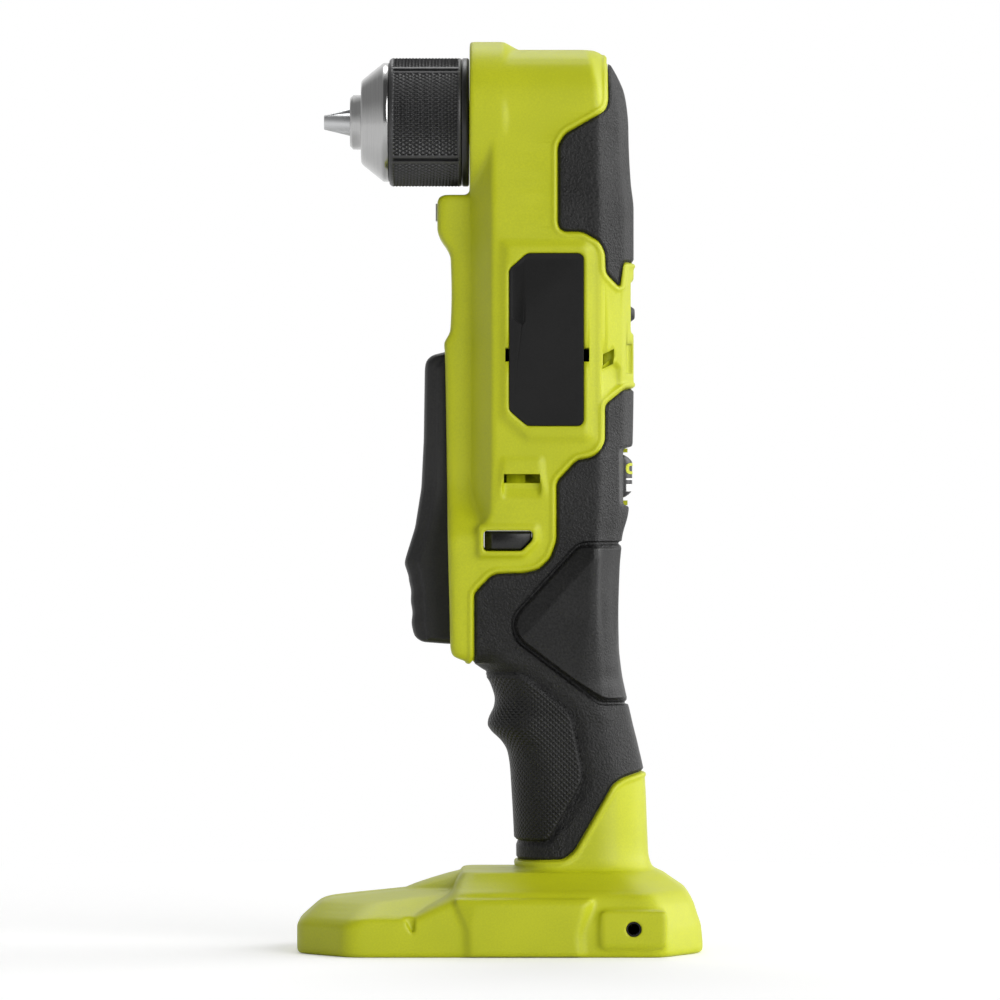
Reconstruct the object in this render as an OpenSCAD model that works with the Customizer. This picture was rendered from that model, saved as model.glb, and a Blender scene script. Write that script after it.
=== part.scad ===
// Cordless right angle drill, bare tool standing on its foot.
// Millimetres, +Z up, the chuck points to -X, the origin is at the bottom centre of the foot.

/* [Foot] */
// Length of the foot along X
foot_length = 117; // [110:0.5:126]
// Width of the foot over its side panels
foot_width = 73; // [68:0.5:80]
// Depth of the battery tray under the foot
tray_depth = 11; // [9:0.5:11.5]
// Height of the battery stem socket above the base
socket_depth = 60; // [56:0.5:61]
// Half width of the battery stem socket
socket_half = 13.2; // [11:0.1:13.4]
// Radius of the bore in each accessory insert
hole_r = 1.65; // [1.5:0.05:1.7]
// Radius of the accessory holes in the sides of the foot
insert_r = 2.2; // [2:0.05:2.4]
// Height of the accessory holes above the base
hole_z = 8.2; // [7.6:0.1:8.5]
// Distance of the accessory holes behind the centre
hole_x = 38.1; // [37:0.1:39.5]

/* [Body] */
// Height of the spindle axis above the base
spindle_z = 240; // [239:0.1:242]
// Distance of the head's front face ahead of the centre
head_face = 8.8; // [8.6:0.1:9]
// Half width of the head
head_half = 22; // [21.6:0.1:24]
// Height of the head's roof above the spindle axis
head_roof = 20.7; // [20.6:0.1:22.5]
// Rise of the front collar of the head above the roof
collar_rise = 2.6; // [1.5:0.1:3.5]
// Half width of the motor barrel
barrel_half = 24; // [23.7:0.1:26]
// Distance of the barrel's back behind the centre
barrel_rear = 38.6; // [38.3:0.1:40.5]
// Half width of the front spine that carries the trigger
spine_half = 12.6; // [12.4:0.1:14]
// Half width of the handle
handle_half = 17.2; // [16.9:0.1:18.6]
// Wall thickness of the housing with its overmould
wall = 3.2; // [2.8:0.1:3.4]
// Thickness of the soft overmould
grip_t = 1.4; // [1:0.1:1.7]
// Open seam around each overmould
seam = 0.25; // [0.1:0.05:0.4]
// Rise of the palm and finger pads above the overmould
pad_rise = 0.7; // [0.4:0.1:1.1]
// Rise of the nameplate frame above the barrel
frame_rise = 1.5; // [1.1:0.1:2]
// Thickness of a nameplate
plate_t = 1.1; // [0.8:0.1:1.4]
// Radius of a housing screw's shank
screw_r = 1.5; // [1.3:0.05:1.7]
// Radius of a housing screw's head
screw_head_r = 2.9; // [2.6:0.1:3.1]

/* [Chuck] */
// Radius of the knurled sleeve
sleeve_r = 18.6; // [17.8:0.1:19.5]
// Distance of the sleeve's rear edge ahead of the centre
sleeve_back = 11.1; // [10.9:0.1:11.6]
// Length of the knurled sleeve
sleeve_length = 20.9; // [20.5:0.1:21.2]
// Length of the bright hood in front of the sleeve
hood_length = 8.2; // [8:0.1:8.8]
// Radius of the hood at its front edge
hood_front_r = 13; // [12.6:0.1:14]
// Radius of the chuck body's nose
nose_r = 7.9; // [7.6:0.1:8.3]
// Length of the nose in front of the hood
nose_length = 3.2; // [2.6:0.1:4]
// Length of the closed jaws in front of the nose
jaw_reach = 7.6; // [7:0.1:8.2]
// Radius of a jaw rod
jaw_r = 3; // [2.8:0.05:3.1]
// Length of a jaw along the chuck axis
jaw_length = 20; // [19:0.5:20.5]
// Slope of the jaw rods to the chuck axis, in degrees
jaw_angle = 17; // [16.5:0.1:17.5]
// Radius of the jaw tips when closed
jaw_tip_r = 1.9; // [1.7:0.05:2.1]

/* [Gears] */
// Distance of the motor axis behind the centre
motor_x = 14.5; // [14.3:0.1:14.7]
// Module of the planetary stage
spur_module = 0.7; // [0.68:0.005:0.7]
// Pitch radius of the bevel gear on the spindle
bevel_r = 13; // [12.8:0.05:13.1]
// Face width of the bevel teeth
bevel_face = 5.5; // [4.5:0.1:5.8]
// Side play between the planetary teeth
spur_play = 0.14; // [0.1:0.02:0.2]
// Side play between the bevel teeth
bevel_play = 0.2; // [0.14:0.02:0.3]
// Running clearance of shafts in their bores
running = 0.03; // [0.02:0.01:0.06]

/* [Motor] */
// Outer radius of the stator
stator_r = 20; // [19:0.1:20.2]
// Height of the stator core
stator_length = 20; // [17:0.5:21]
// Radius of the rotor core
rotor_r = 9.8; // [9:0.1:9.9]
// Radius of the cooling fan
fan_r = 18; // [16:0.2:19]

/* [Controls] */
// Half width of the trigger paddle
trigger_half = 8.9; // [8:0.1:9]
// Radius of the trigger's hinge pin
pin_r = 1.5; // [1.3:0.05:1.7]
// Length of the direction selector along X
selector_length = 13.6; // [12:0.1:14.2]
// Height of the direction selector
selector_height = 5.3; // [4.6:0.1:5.6]
// Half width of the mode button
button_half = 5.2; // [4.4:0.1:5.6]

/* [Hidden] */
$fn = 48;
eps = 0.02;
foot_end = foot_length / 2;
foot_half = foot_width / 2 - 1.5;
tray_half = foot_half - 4;
lime = [0.75, 0.78, 0.17];
black = [0.16, 0.16, 0.16];
steel = [0.72, 0.72, 0.74];
dark = [0.3, 0.31, 0.33];

// Fore and aft places along the spindle, measured forward from the motor axis plane at X = 0
sleeve_front = sleeve_back + sleeve_length;
hood_front = sleeve_front + hood_length;
nose_front = hood_front + nose_length;
jaw_front = nose_front + jaw_reach;
jaw_back = jaw_front - jaw_length;
collar_back = head_face + 0.4;
jaw_offset = jaw_tip_r - jaw_r / cos(jaw_angle);
jaw_phase = -100;
bit_r = 5.3;
stub_r = 4.7;
stub_end = 20.2;

// Gear tooth counts and pitch sizes
sun_teeth = 12;
planet_teeth = 18;
ring_teeth = 48;
gear_teeth = 30;
pinion_teeth = 12;
pressure = 20;
sun_pitch = spur_module * sun_teeth / 2;
planet_pitch = spur_module * planet_teeth / 2;
ring_pitch = spur_module * ring_teeth / 2;
planet_orbit = sun_pitch + planet_pitch;
pinion_r = bevel_r * pinion_teeth / gear_teeth;
bevel_module = 2 * bevel_r / gear_teeth;
cone_length = norm([bevel_r, pinion_r]);
gear_cone = atan2(bevel_r, pinion_r);

// Gear case places
case_r = 17;
case_in = 14.6;
case_front = head_face - wall - 0.3;
case_rear = 24.5;
cover_t = 3.6;
case_wall = 3;
spindle_r = 5;
journal_r = 4;
bearing_r = 11;
bearing_w = 6;
bearing_x = case_front - 0.7;
ear_r = 2.3;
ear_at = case_r + 0.2;
stack_r = 19.4;

// Heights of the drive line, from the top down
pinion_seat_z = spindle_z - bevel_r - 1.4;
pinion_bearing_z = spindle_z - 24;
skirt_top = pinion_bearing_z - 1.5;
skirt_bottom = skirt_top - 7.5;
ring_bottom = skirt_bottom - 9.7;
plate_bottom = ring_bottom - 3.3;
front_bearing_z = plate_bottom - 3.6;
fan_top = front_bearing_z - 11.4;
stator_top = fan_top - 13.6;
stator_bottom = stator_top - stator_length;
board_z = stator_bottom - 9;
rear_bearing_z = board_z - 6.4;
shaft_end = rear_bearing_z - 1;
shaft_r = 3;
small_bearing_r = 7.5;
small_bearing_w = 5;

// Places of the controls
pivot_x = -12.5;
pivot_z = 169.5;
slot_half = trigger_half + 0.4;
slot_low = 87.8;
slot_high = 174.6;
selector_x = 2.3;
selector_z = 118.8;
plunger_z = 100;
plunger_tip = 9.1;
switch_front = -1.5;
switch_rear = 17;
switch_low = 88;
switch_high = 113;
button_low = 131;
button_high = 143.8;
stud_z = 184.4;
lens_low = 211.2;
lens_high = 216.2;
lens_half = 5;
spine_nose = 18.1;

// Screw places in the side view
screws = [[28, 251.8], [-10.6, 205.5], [-10.4, 180.6], [30.8, 184.6],
          [-3.6, 84], [2.6, 70], [-8, 16.6], [46, 16.4]];

// Depth of each screw's tip in the left half and of its head in the right half
function tip_y(s) = s[1] > 30 && s[1] < 90 ? 5.6 : 8.5;
function head_y(s) = s[1] < 30 ? 20 : s[1] < 90 ? 9.6 : s[0] < -8 ? 9 : 15;

// Helper functions for outlines and lofts

// A corner turned into a short curve
function corner(a, p, b, t, n) =
    n == 0 ? [p] :
    let (ta = min(t, 0.45 * norm(a - p)), tb = min(t, 0.45 * norm(b - p)))
    let (u = p + (a - p) * ta / norm(a - p), v = p + (b - p) * tb / norm(b - p))
    [for (i = [0:n]) let (s = i / n) u * (1 - s) * (1 - s) + 2 * p * s * (1 - s) + v * s * s];

// A half outline with its inner corners rounded, the first and last points lie on the middle plane
function soften(p, t, n) =
    concat([p[0]], [for (i = [1:len(p) - 2]) each corner(p[i - 1], p[i], p[i + 1], t, n)], [p[len(p) - 1]]);

function normal(a, b) = [a.y - b.y, b.x - a.x] / norm(b - a);
function cross2(a, b) = a.x * b.y - a.y * b.x;
function meet(p, u, q, v) = p + u * cross2(q - p, v) / cross2(u, v);

// A half outline moved inward by d, with its end points on the plane y = mid
function inset(p, d, mid) =
    let (k = len(p) - 1)
    concat([[p[0].x + d, mid]],
           [for (i = [1:k - 1])
               let (m = normal(p[i - 1], p[i]), n = normal(p[i], p[i + 1]))
               meet(p[i - 1] + m * d, p[i] - p[i - 1], p[i] + n * d, p[i + 1] - p[i])],
           [[p[k].x - d, mid]]);

function at_height(p, z) = [for (q = p) [q.x, q.y, z]];

// Convex half sections joined one after another
module loft(rings) {
    for (i = [0:len(rings) - 2]) {
        n = len(rings[i]);
        hull() polyhedron(
            points = concat(rings[i], rings[i + 1]),
            faces = concat([[for (k = [0:n - 1]) k]], [[for (k = [0:n - 1]) 2 * n - 1 - k]],
                           [for (k = [0:n - 1]) [(k + 1) % n, k, n + k, n + (k + 1) % n]]));
    }
}

// A side view outline extruded from the plane y = -near out to y = -far
module side(near, far) {
    translate([0, -near, 0]) rotate([90, 0, 0]) linear_extrude(far - near) children();
}

// Body sections: height, front, rear, half width, front chamfer x and y,
// rear facet x, crease x, crease y, flat y, rounding
hh = handle_half;
bh = barrel_half;
br = barrel_rear;
hf = -head_face;
sh = spine_half;
sz = spindle_z;
body_rows = [
    [19, 0.5, 49, hh + 8.5, 7, 9, 13, 4, 6, 13, 6],
    [21.5, 3, 46.5, hh + 5.2, 7, 9, 13, 4, 6, 12, 6],
    [24, 4.3, 44.3, hh + 2.6, 7, 8.5, 12, 4, 5.5, 11, 6],
    [28, 4.7, 43, hh + 1, 7, 8, 11, 4, 5, 10.5, 6],
    [34, 4.5, 42.7, hh + 0.4, 7, 8, 11, 4, 5, 10, 6],
    [50, 3.6, 42, hh, 7, 8, 11, 4, 5, 10, 6],
    [54, 3.3, 41.3, hh, 7, 8, 11, 4, 5, 10, 6],
    [58.3, 2.5, 40.3, hh, 7, 8, 11, 4, 5, 10, 6],
    [61.3, 0.7, 39.6, hh, 7.5, 8, 11, 4, 5, 10, 6],
    [64, -2.2, 38.9, hh, 8, 8.4, 11, 4, 5, 10, 6],
    [65.6, -3.2, 38.5, hh, 8, 8.6, 11, 4, 5, 10, 6],
    [67.4, -2.8, 38.1, hh + 0.1, 8, 8.4, 10, 4, 5, 10, 6],
    [70.4, -1.3, 37.4, hh + 0.2, 8, 8, 10, 4, 5, 10, 6],
    [73.2, -1, 36.6, hh + 0.3, 8, 8, 9.5, 4, 5, 10, 6],
    [76.2, -1.8, 35.9, hh + 0.5, 8, 8, 9, 3.5, 5, 10, 5],
    [79, -3, 35.3, hh + 0.8, 8, 8, 8.5, 3.5, 5, 10, 5],
    [83, -7.2, 34.7, hh + 1.4, 8, 8.4, 8, 3, 5, 10, 4],
    [88, hf + 0.2, 34.2, hh + 2.2, 7, 6.8, 7.5, 3, 5, 10, 3],
    [98, hf, 34, hh + 3.4, 6.8, hh + 3.4 - sh, 7, 3, 5, 10, 2],
    [110, hf, 34.3, hh + 5, 6.6, hh + 5 - sh, 7, 3, 6, 11, 2],
    [118, hf, 34.9, hh + 5.9, 6.6, hh + 5.9 - sh, 7.2, 3, 6.5, 12, 2],
    [127, hf, br - 1.5, bh - 0.2, 6.6, bh - 0.2 - sh, 8.8, 3, 7, 13, 2],
    [146, hf, br - 0.3, bh, 6.6, bh - sh, 9.8, 3, 7, 14, 2],
    [165, hf, br, bh, 6.6, bh - sh, 10, 3, 7, 14, 2],
    [199, hf, br, bh, 6.6, bh - sh, 10, 3, 7, 14, 2],
    [sz - 25.5, hf, br, bh - 0.4, 6.6, bh - 0.4 - sh, 10, 3, 7, 14, 2],
    [sz - 18, hf, br - 0.8, head_half + 0.6, 6.6, head_half + 0.6 - sh, 9.5, 3, 7, 14, 2],
    [sz - 6.5, hf, br - 1.4, head_half, 6.6, head_half - sh, 9, 3, 7, 14, 2],
    [sz - 1, hf, br - 1.5, head_half, 1.4, 1.4, 9, 3, 7, 14, 2],
    [sz + 3.4, hf, br - 1.9, head_half, 1.4, 1.4, 8.5, 3, 7, 14, 2],
    [sz + 8, hf, br - 2.7, head_half - 0.8, 1.4, 1.4, 8, 3, 7, 13, 2],
    [sz + head_roof - 8, hf, br - 4.6, head_half - 3, 1.4, 1.4, 7, 3, 6, 12, 2],
    [sz + head_roof - 5.2, hf, br - 6.1, head_half - 5.2, 1.4, 1.6, 6, 3, 5, 11, 2],
    [sz + head_roof - 2.6, hf, br - 7.8, head_half - 8.6, 1.4, 1.8, 5, 2.5, 4, 9, 2],
    [sz + head_roof - 0.8, hf + 0.1, br - 9.6, head_half - 12.5, 1.4, 2, 4, 2, 3, 6.5, 2],
    [sz + head_roof, hf + 0.6, br - 11.4, head_half - 16, 1.4, 1.5, 3, 1.5, 1.2, 3, 2]];

function body_half(r) = [
    [r[1], 0], [r[1], -(r[3] - r[5])], [r[1] + r[4], -r[3]], [r[2] - r[6], -r[3]],
    [r[2] - r[7], -(r[3] - r[8])], [r[2], -(r[3] - r[9])], [r[2], 0]];

module body(d, n = 2) {
    loft([for (r = body_rows) at_height(soften(inset(body_half(r), d, 0), r[10], n), r[0])]);
}

// The hollow of the body from the socket's roof up
module body_hollow() {
    low = socket_depth + 1.3;
    under = [for (r = body_rows) if (r[0] <= low + eps) r];
    rows = concat([under[len(under) - 1]], [for (r = body_rows) if (r[0] > low + eps) r]);
    top = len(rows) - 1;
    roof = [wall - 1.6, wall - 0.6, wall];
    heights = [for (i = [0:top]) i == 0 ? low : rows[i][0] - (i > top - 3 ? roof[i - top + 2] : 0)];
    loft([for (i = [0:top]) at_height(inset(body_half(rows[i]), wall, 1), heights[i])]);
}

// Spine sections: height, front, half width
spine_rows = [
    [83.4, -8.4, 9.8], [85.6, -13.6, sh - 0.6], [88, -14.3, sh], [120, -15, sh], [173.6, -16, sh],
    [175.6, -16.2, sh], [177.2, -15.4, sh], [179, -14.4, sh], [190, -14, sh], [200.6, -14.3, sh],
    [203, -15.2, sh], [206, -17.2, sh - 0.2], [208.4, -spine_nose, sh - 0.4],
    [216.6, -spine_nose, sh - 0.6],
    [218, -spine_nose + 0.6, sh - 1], [218.6, -spine_nose + 2, sh - 2]];

function spine_half_outline(r) =
    [[r[1], 0], [r[1], -(r[2] - 1.2)], [r[1] + 1.4, -r[2]], [3, -r[2]], [3, 0]];

module spine(d) {
    loft([for (r = spine_rows) at_height(soften(inset(spine_half_outline(r), d, 0), 1.4, 2), r[0])]);
}

module spine_hollow() {
    rows = [for (r = spine_rows) if (r[0] > slot_low - 2 && r[0] < 216) r];
    loft([for (r = rows) at_height(inset(spine_half_outline(r), wall, 1), r[0])]);
}

// Foot sections: height, front, rear, half width
fe = foot_end;
fh = foot_half;
base_rows = [
    [0, -fe + 0.8, fe - 1, fh - 0.7], [0.8, -fe, fe, fh], [6, -fe, fe, fh],
    [9.1, -fe + 0.1, fe - 0.8, fh - 0.2], [11.2, -fe + 1.2, fe - 1.6, fh - 0.8],
    [13.2, -fe + 2.8, fe - 2.4, fh - 4], [14.8, -fe + 5.4, fe - 3.2, fh - 7],
    [16, -fe + 9.2, fe - 4, fh - 10], [17.1, -fe + 19.6, fe - 5, fh - 12],
    [18, -fe + 30, fe - 6, fh - 13.5]];
deck_rows = [
    [11.2, -31, fe - 1.6, fh - 0.8], [15.5, -27, fe - 3.2, fh - 2.4], [19.4, -23.9, fe - 6.8, fh - 8.5],
    [22.3, -16.5, fe - 10.4, fh - 12], [23.5, -11.7, fe - 13.2, fh - 13.7]];

function foot_plan(front, rear, half) =
    [[front, 0], [front, -half * 0.46], [front + 15, -half],
     [rear - 11, -half], [rear, -half * 0.42], [rear, 0]];

module foot_block() {
    loft([for (r = base_rows) at_height(soften(foot_plan(r[1], r[2], r[3]), 9, 2), r[0])]);
    loft([for (r = deck_rows) at_height(soften(foot_plan(r[1], r[2], r[3]), 9, 2), r[0])]);
    hull() {
        side(fh - 2, foot_width / 2)
            polygon([[-8.6, 0.8], [-8.6, 12.6], [-6, 15], [21.5, 15], [22.6, 14], [20.6, 0.8]]);
        side(fh - 2, fh)
            polygon([[-11.4, 0.2], [-11.4, 13.4], [-8, 17], [24.6, 17], [25.6, 15], [23.4, 0.2]]);
    }
    hull() {
        side(fh - 2, foot_width / 2) translate([hole_x, 6.3]) offset(3) square([10, 2.4], center = true);
        side(fh - 2, fh) translate([hole_x, 6.2]) offset(3) square([13.4, 4.4], center = true);
    }
}

// Battery tray under the foot and the octagonal socket for the battery's stem
module battery_space() {
    tray = foot_plan(-fe + 4, fe - 4, tray_half);
    loft([at_height(inset(tray, 0, 1), -1), at_height(inset(tray, 0, 1), tray_depth)]);
    stem = [[8, 1], [8, -8], [13, -socket_half], [32, -socket_half], [36.5, -8], [36.5, 1]];
    translate([0, 0, -1]) linear_extrude(socket_depth + 2.4) polygon(stem);
}

// Outlines of the overmoulds in the side view
bumper_outline = [
    [31.1, 261], [30.4, 258], [30.4, 246.2], [29.4, 243.2], [18, 237.4], [16.6, 235], [16.6, 209],
    [18.2, 207.4], [23.6, 207.4], [28.6, 204.6], [30.2, 201.4], [30.4, 195.6], [34.4, 191.6],
    [35.4, 198.4], [36.2, 199], [46, 199], [46, 261]];
grip_outline = [
    [46, 162.6], [36, 162.6], [30.6, 158.2], [30.2, 157], [30.2, 147.2], [28.6, 144.4], [25.8, 142.6],
    [22, 142], [16.8, 136.4], [16.2, 135], [16.2, 118.8], [14.4, 113.8], [11, 110.6], [7, 109.6],
    [-0.8, 109.4], [-2.8, 108.6], [-7, 104.2], [-7.4, 103], [-7.4, 83.9], [-12, 80], [-12, 26.8],
    [8, 26.8], [18.4, 27.2], [21.4, 29.6], [32.4, 48.6], [35.2, 50.4], [41, 52.2], [52, 52.2], [52, 120]];
palm_outline = [
    [23.6, 117.2], [46, 117.2], [46, 72.8], [29, 72.8],
    [5.6, 90.6], [4.4, 94.6], [5.4, 97.6], [21.8, 115.8]];
finger_outline = [
    [-12, 80], [6.7, 80], [19.4, 69.8], [20.6, 66.8], [23.4, 52.2],
    [23, 48.8], [14.4, 33.9], [13, 32.6], [-12, 32.6]];
frame_outline = [
    [0, 205.4], [25, 205.4], [27.2, 203], [27.2, 148],
    [25, 146.4], [7.6, 146.4], [-0.6, 153.6], [-0.6, 198.4]];
plate_outline = [
    [7.8, 201.2], [22.9, 201.2], [24, 200.1], [24, 152.8],
    [22.9, 151.7], [7.8, 151.7], [2.6, 156.2], [2.6, 196.6]];

// The region of one overmould, its edge drawn back by d
module region(points, d) {
    side(0, 60) offset(r = 1.4, $fn = 16) offset(delta = -1.4 - d) polygon(points);
}

module rounded(points, d, r) {
    offset(r = r, $fn = 16) offset(delta = -r - d) polygon(points);
}

// Soft pad of one overmould on the left half
module soft_pad(points) {
    difference() {
        intersection() {
            body(0);
            region(points, seam / 2);
        }
        body(grip_t, 1);
    }
}

// Solid form of the left half without its overmoulds
module left_form() {
    difference() {
        union() {
            body(0);
            spine(0);
            foot_block();
            // Raised round collar at the front of the head
            hull() {
                translate([hf, 0, 0]) collar_slice(8.6, head_roof + collar_rise);
                translate([hf + 14.4, 0, 0]) collar_slice(0.4, head_roof - 0.6);
            }
            // Raised frame of the nameplate
            hull() {
                side(bh - 3, bh - 0.1) rounded(frame_outline, 0, 1);
                side(bh - 3, bh + frame_rise) rounded(frame_outline, 2.6, 1);
            }
            // Rim of the direction selector
            hull() {
                side(bh - 6, bh - 1.4) selector_shape(4.4);
                side(bh - 6, bh - 0.2) selector_shape(2);
            }
            // Hood over the cooling slot
            hull() {
                side(bh - 3, bh - 0.3) polygon([[-1, 129], [14, 129], [12.8, 143.4], [0, 143.4]]);
                side(bh - 3, bh + 0.8) polygon([[0.4, 136], [12.4, 136], [11.4, 141.6], [1.2, 141.6]]);
            }
        }
        region_cut(bumper_outline);
        region_cut(grip_outline);
        // Nameplate seat
        side(bh + frame_rise - plate_t - eps, 60) rounded(plate_outline, -seam / 2, 0.8);
        // Cooling slots
        side(14, 60) translate([1, 135.4]) square([10.4, 2.5]);
        side(14, 60) translate([0.4, 170.2]) square([25.8, 3.6]);
        side(10, 60) polygon([[29.4, 172.2], [32.2, 174.6], [32.2, 171.4], [29.2, 168.8]]);
        // Ramp under the cooling slot
        hull() {
            side(bh - 1.6, bh + 4) translate([1, 134]) square([10.4, 2]);
            side(bh + 1, bh + 4) translate([0, 128]) square([12.4, 8]);
        }
    }
}

module region_cut(points) {
    difference() {
        region(points, 0);
        body(grip_t + eps, 1);
        spine(0);
    }
}

// Half disc about the spindle axis, of thickness t and radius r
module collar_slice(t, r) {
    rotate([90, 0, 90]) linear_extrude(t) polygon([for (a = [-90:7.5:90]) [-r * cos(a), sz + r * sin(a)]]);
}

module selector_shape(d) {
    l = selector_length / 2 + d;
    h = selector_height / 2 + d;
    translate([selector_x, selector_z]) offset(r = 0.6, $fn = 16) offset(delta = -0.6)
        polygon([[-l, -h], [l - 3, -h], [l, -h + 3], [l, h], [-l, h]]);
}

// A rib across the left half's hollow, from height z up by t
module rib(z, t) {
    translate([-30, -40, z]) cube([90, 40, t]);
}

// Ribs and seats that carry the inner pieces
module left_ribs() {
    difference() {
        union() {
            rib(sz + 5, 2.4);
            rib(sz - 8, 2.4);
        }
        case_form(0.2, $fn = 36);
        translate([-40, -40, sz - 20]) cube([40 - case_front + 0.4, 80, 60]);
    }
    difference() {
        union() {
            rib(skirt_bottom + 2, 2.4);
            rib(plate_bottom + 0.4, 2.4);
        }
        translate([motor_x, 0, 150]) cylinder(h = 90, r = stack_r + 0.2, $fn = 36);
    }
    difference() {
        union() {
            rib(stator_bottom + 3, 2.4);
            rib(stator_top - 5.4, 2.4);
        }
        translate([motor_x, 0, 130]) cylinder(h = 50, r = stator_r + 0.2, $fn = 36);
        translate([-40, -40, 130]) cube([40 + pivot_x + 5.5, 80, 60]);
    }
    difference() {
        rib(rear_bearing_z - 0.5, board_z - rear_bearing_z + 0.45);
        translate([motor_x, 0, 100]) cylinder(h = 50, r = small_bearing_r + 0.1, $fn = 36);
        translate([24.4, -9, 100]) cube([20, 18, 60]);
        translate([-40, -40, 100]) cube([40 + pivot_x + 6.6, 80, 60]);
    }
    difference() {
        union() {
            rib(93, 2.4);
            rib(107, 2.4);
        }
        translate([switch_front - 40, -9.6, 80]) cube([switch_rear - switch_front + 40.2, 20, 60]);
        translate([switch_front - 60, -40, 80]) cube([60, 80, 60]);
        translate([19.5, -13.1, 80]) cube([8, 20, 60]);
        translate([15, -8, 80]) cube([6, 20, 60]);
    }
    difference() {
        rib(socket_depth + 3, 2.4);
        translate([0, 0, 50]) linear_extrude(60) offset(delta = 0.2) polygon(block_plan);
    }
    // Seats of the work light board and the mode button board
    translate([-spine_nose + 3.4, -20, lens_low - 1.2]) cube([2.8, 20, 0.8]);
    translate([br - 7.9, -11.5, button_low - 3]) cube([7.4, 11.5, button_high - button_low + 4.2]);
}

// Screw posts on the parting plane
module screw_posts(r) {
    for (s = screws) translate([s[0], 0, s[1]]) rotate([90, 0, 0]) cylinder(h = 40, r = r, $fn = 16);
}

// One housing half in its left form, hollowed, with seats and posts
module left_shell() {
    difference() {
        left_form();
        difference() {
            union() {
                body_hollow();
                spine_hollow();
                on_spindle() translate([0, 0, -10]) cylinder(h = case_front + 10.2, r = case_r + 0.4);
            }
            left_ribs();
            screw_posts(screw_r + 1.7);
        }
        battery_space();
        // Opening for the spindle in the front of the head
        translate([-20, 0, sz]) rotate([0, 90, 0]) cylinder(h = 16, r = 8.6, $fn = 36);
        // Slot for the trigger
        translate([-40, -slot_half, slot_low]) cube([40 + pivot_x + 4, 20, slot_high - slot_low]);
        translate([pivot_x, 1, pivot_z]) rotate([90, 0, 0]) cylinder(h = 12.5, r = pin_r + 0.02, $fn = 32);
        // Window and seat of the work light
        translate([-30, -lens_half - 0.1, lens_low - 0.1])
            cube([30 - spine_nose + 3.6, 20, lens_high - lens_low + 0.2]);
        translate([-spine_nose + 3.3, -lens_half - 1.1, lens_low - 1.1])
            cube([2, 20, lens_high - lens_low + 2.2]);
        // Window of the mode button
        translate([br - 3, -8, 129]) cube([20, 20, 16.8]);
        translate([br - 12, -button_half - 0.3, button_low - 0.3])
            cube([40, 20, button_high - button_low + 0.6]);
        translate([br - 12, -8.9, button_low - 1.1]) cube([6.4, 20, button_high - button_low + 1.6]);
        // Shallow pocket and hole of the rest stud
        translate([br - 0.9, -10, stud_z - 6]) cube([20, 20, 15.6]);
        translate([20, 0, stud_z]) rotate([0, 90, 0]) cylinder(h = 40, r = 1.25, $fn = 24);
        // Slot of the direction selector
        side(0, 60) selector_shape(0.35);
        // Accessory hole in the side of the foot
        translate([hole_x, -tray_half + 1, hole_z]) rotate([90, 0, 0])
            cylinder(h = 20, r = insert_r, $fn = 32);
    }
}

// The left half: blind pilot holes for the screws
module housing_left() {
    color(lime) difference() {
        left_shell();
        for (s = screws)
            translate([s[0], 1, s[1]]) rotate([90, 0, 0])
                cylinder(h = tip_y(s) + 2, r = screw_r + 0.12, $fn = 12);
    }
}

// The right half: clearance holes and counterbores for the screws
module housing_right() {
    color(lime) mirror([0, 1, 0]) difference() {
        left_shell();
        for (s = screws) {
            translate([s[0], 1, s[1]]) rotate([90, 0, 0]) cylinder(h = 40, r = screw_r + 0.2, $fn = 12);
            translate([s[0], -head_y(s), s[1]]) rotate([90, 0, 0])
                cylinder(h = 40, r = screw_head_r + 0.25, $fn = 18);
        }
    }
}

// Threaded inserts in the accessory holes, their threads drawn as plain bores
module accessory_inserts() {
    color(steel) for (m = [0, 1]) mirror([0, m, 0])
        translate([hole_x, -tray_half - 0.2, hole_z]) rotate([90, 0, 0]) difference() {
            cylinder(h = foot_width / 2 - tray_half - 0.9, r = insert_r - 0.03);
            translate([0, 0, -1]) cylinder(h = 10, r = hole_r);
        }
}

module housing_screws() {
    color(dark) for (s = screws) translate([s[0], 0, s[1]]) rotate([-90, 0, 0]) {
        difference() {
            union() {
                translate([0, 0, -tip_y(s)]) cylinder(h = tip_y(s) + head_y(s) + 1, r = screw_r);
                translate([0, 0, head_y(s)]) cylinder(h = 2.3, r = screw_head_r);
            }
            translate([0, 0, head_y(s) + 1]) cylinder(h = 3, r = 1.4, $fn = 6);
        }
    }
}

module bumper_left_form() {
    difference() {
        soft_pad(bumper_outline);
        for (s = screws)
            translate([s[0], 1, s[1]]) rotate([90, 0, 0])
                cylinder(h = 60, r = screw_head_r + 0.25, $fn = 18);
    }
}

module rear_bumper_left() {
    color(black) soft_pad(bumper_outline);
}

module rear_bumper_right() {
    color(black) mirror([0, 1, 0]) bumper_left_form();
}

// Handle overmould with its raised palm and finger pads
module grip_form() {
    difference() {
        union() {
            soft_pad(grip_outline);
            difference() {
                intersection() {
                    body(-pad_rise);
                    union() {
                        region(palm_outline, 0.6);
                        region(finger_outline, 0.6);
                    }
                }
                body(grip_t - 0.4, 1);
            }
        }
        spine(-0.15);
        translate([br - 6, -8 - eps, 129 - eps]) cube([20, 20, 16.8 + 2 * eps]);
        side(0, 60) selector_shape(4.6);
        foot_block();
    }
}

module handle_grip_left() {
    color(black) grip_form();
}

module handle_grip_right() {
    color(black) mirror([0, 1, 0]) difference() {
        grip_form();
        for (s = screws)
            translate([s[0], 1, s[1]]) rotate([90, 0, 0])
                cylinder(h = 60, r = screw_head_r + 0.25, $fn = 18);
    }
}

module nameplate_form() {
    color(black) side(bh + frame_rise - plate_t, bh + frame_rise - 0.15)
        polygon(plate_outline);
}

module nameplate_left() {
    nameplate_form();
}

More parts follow.
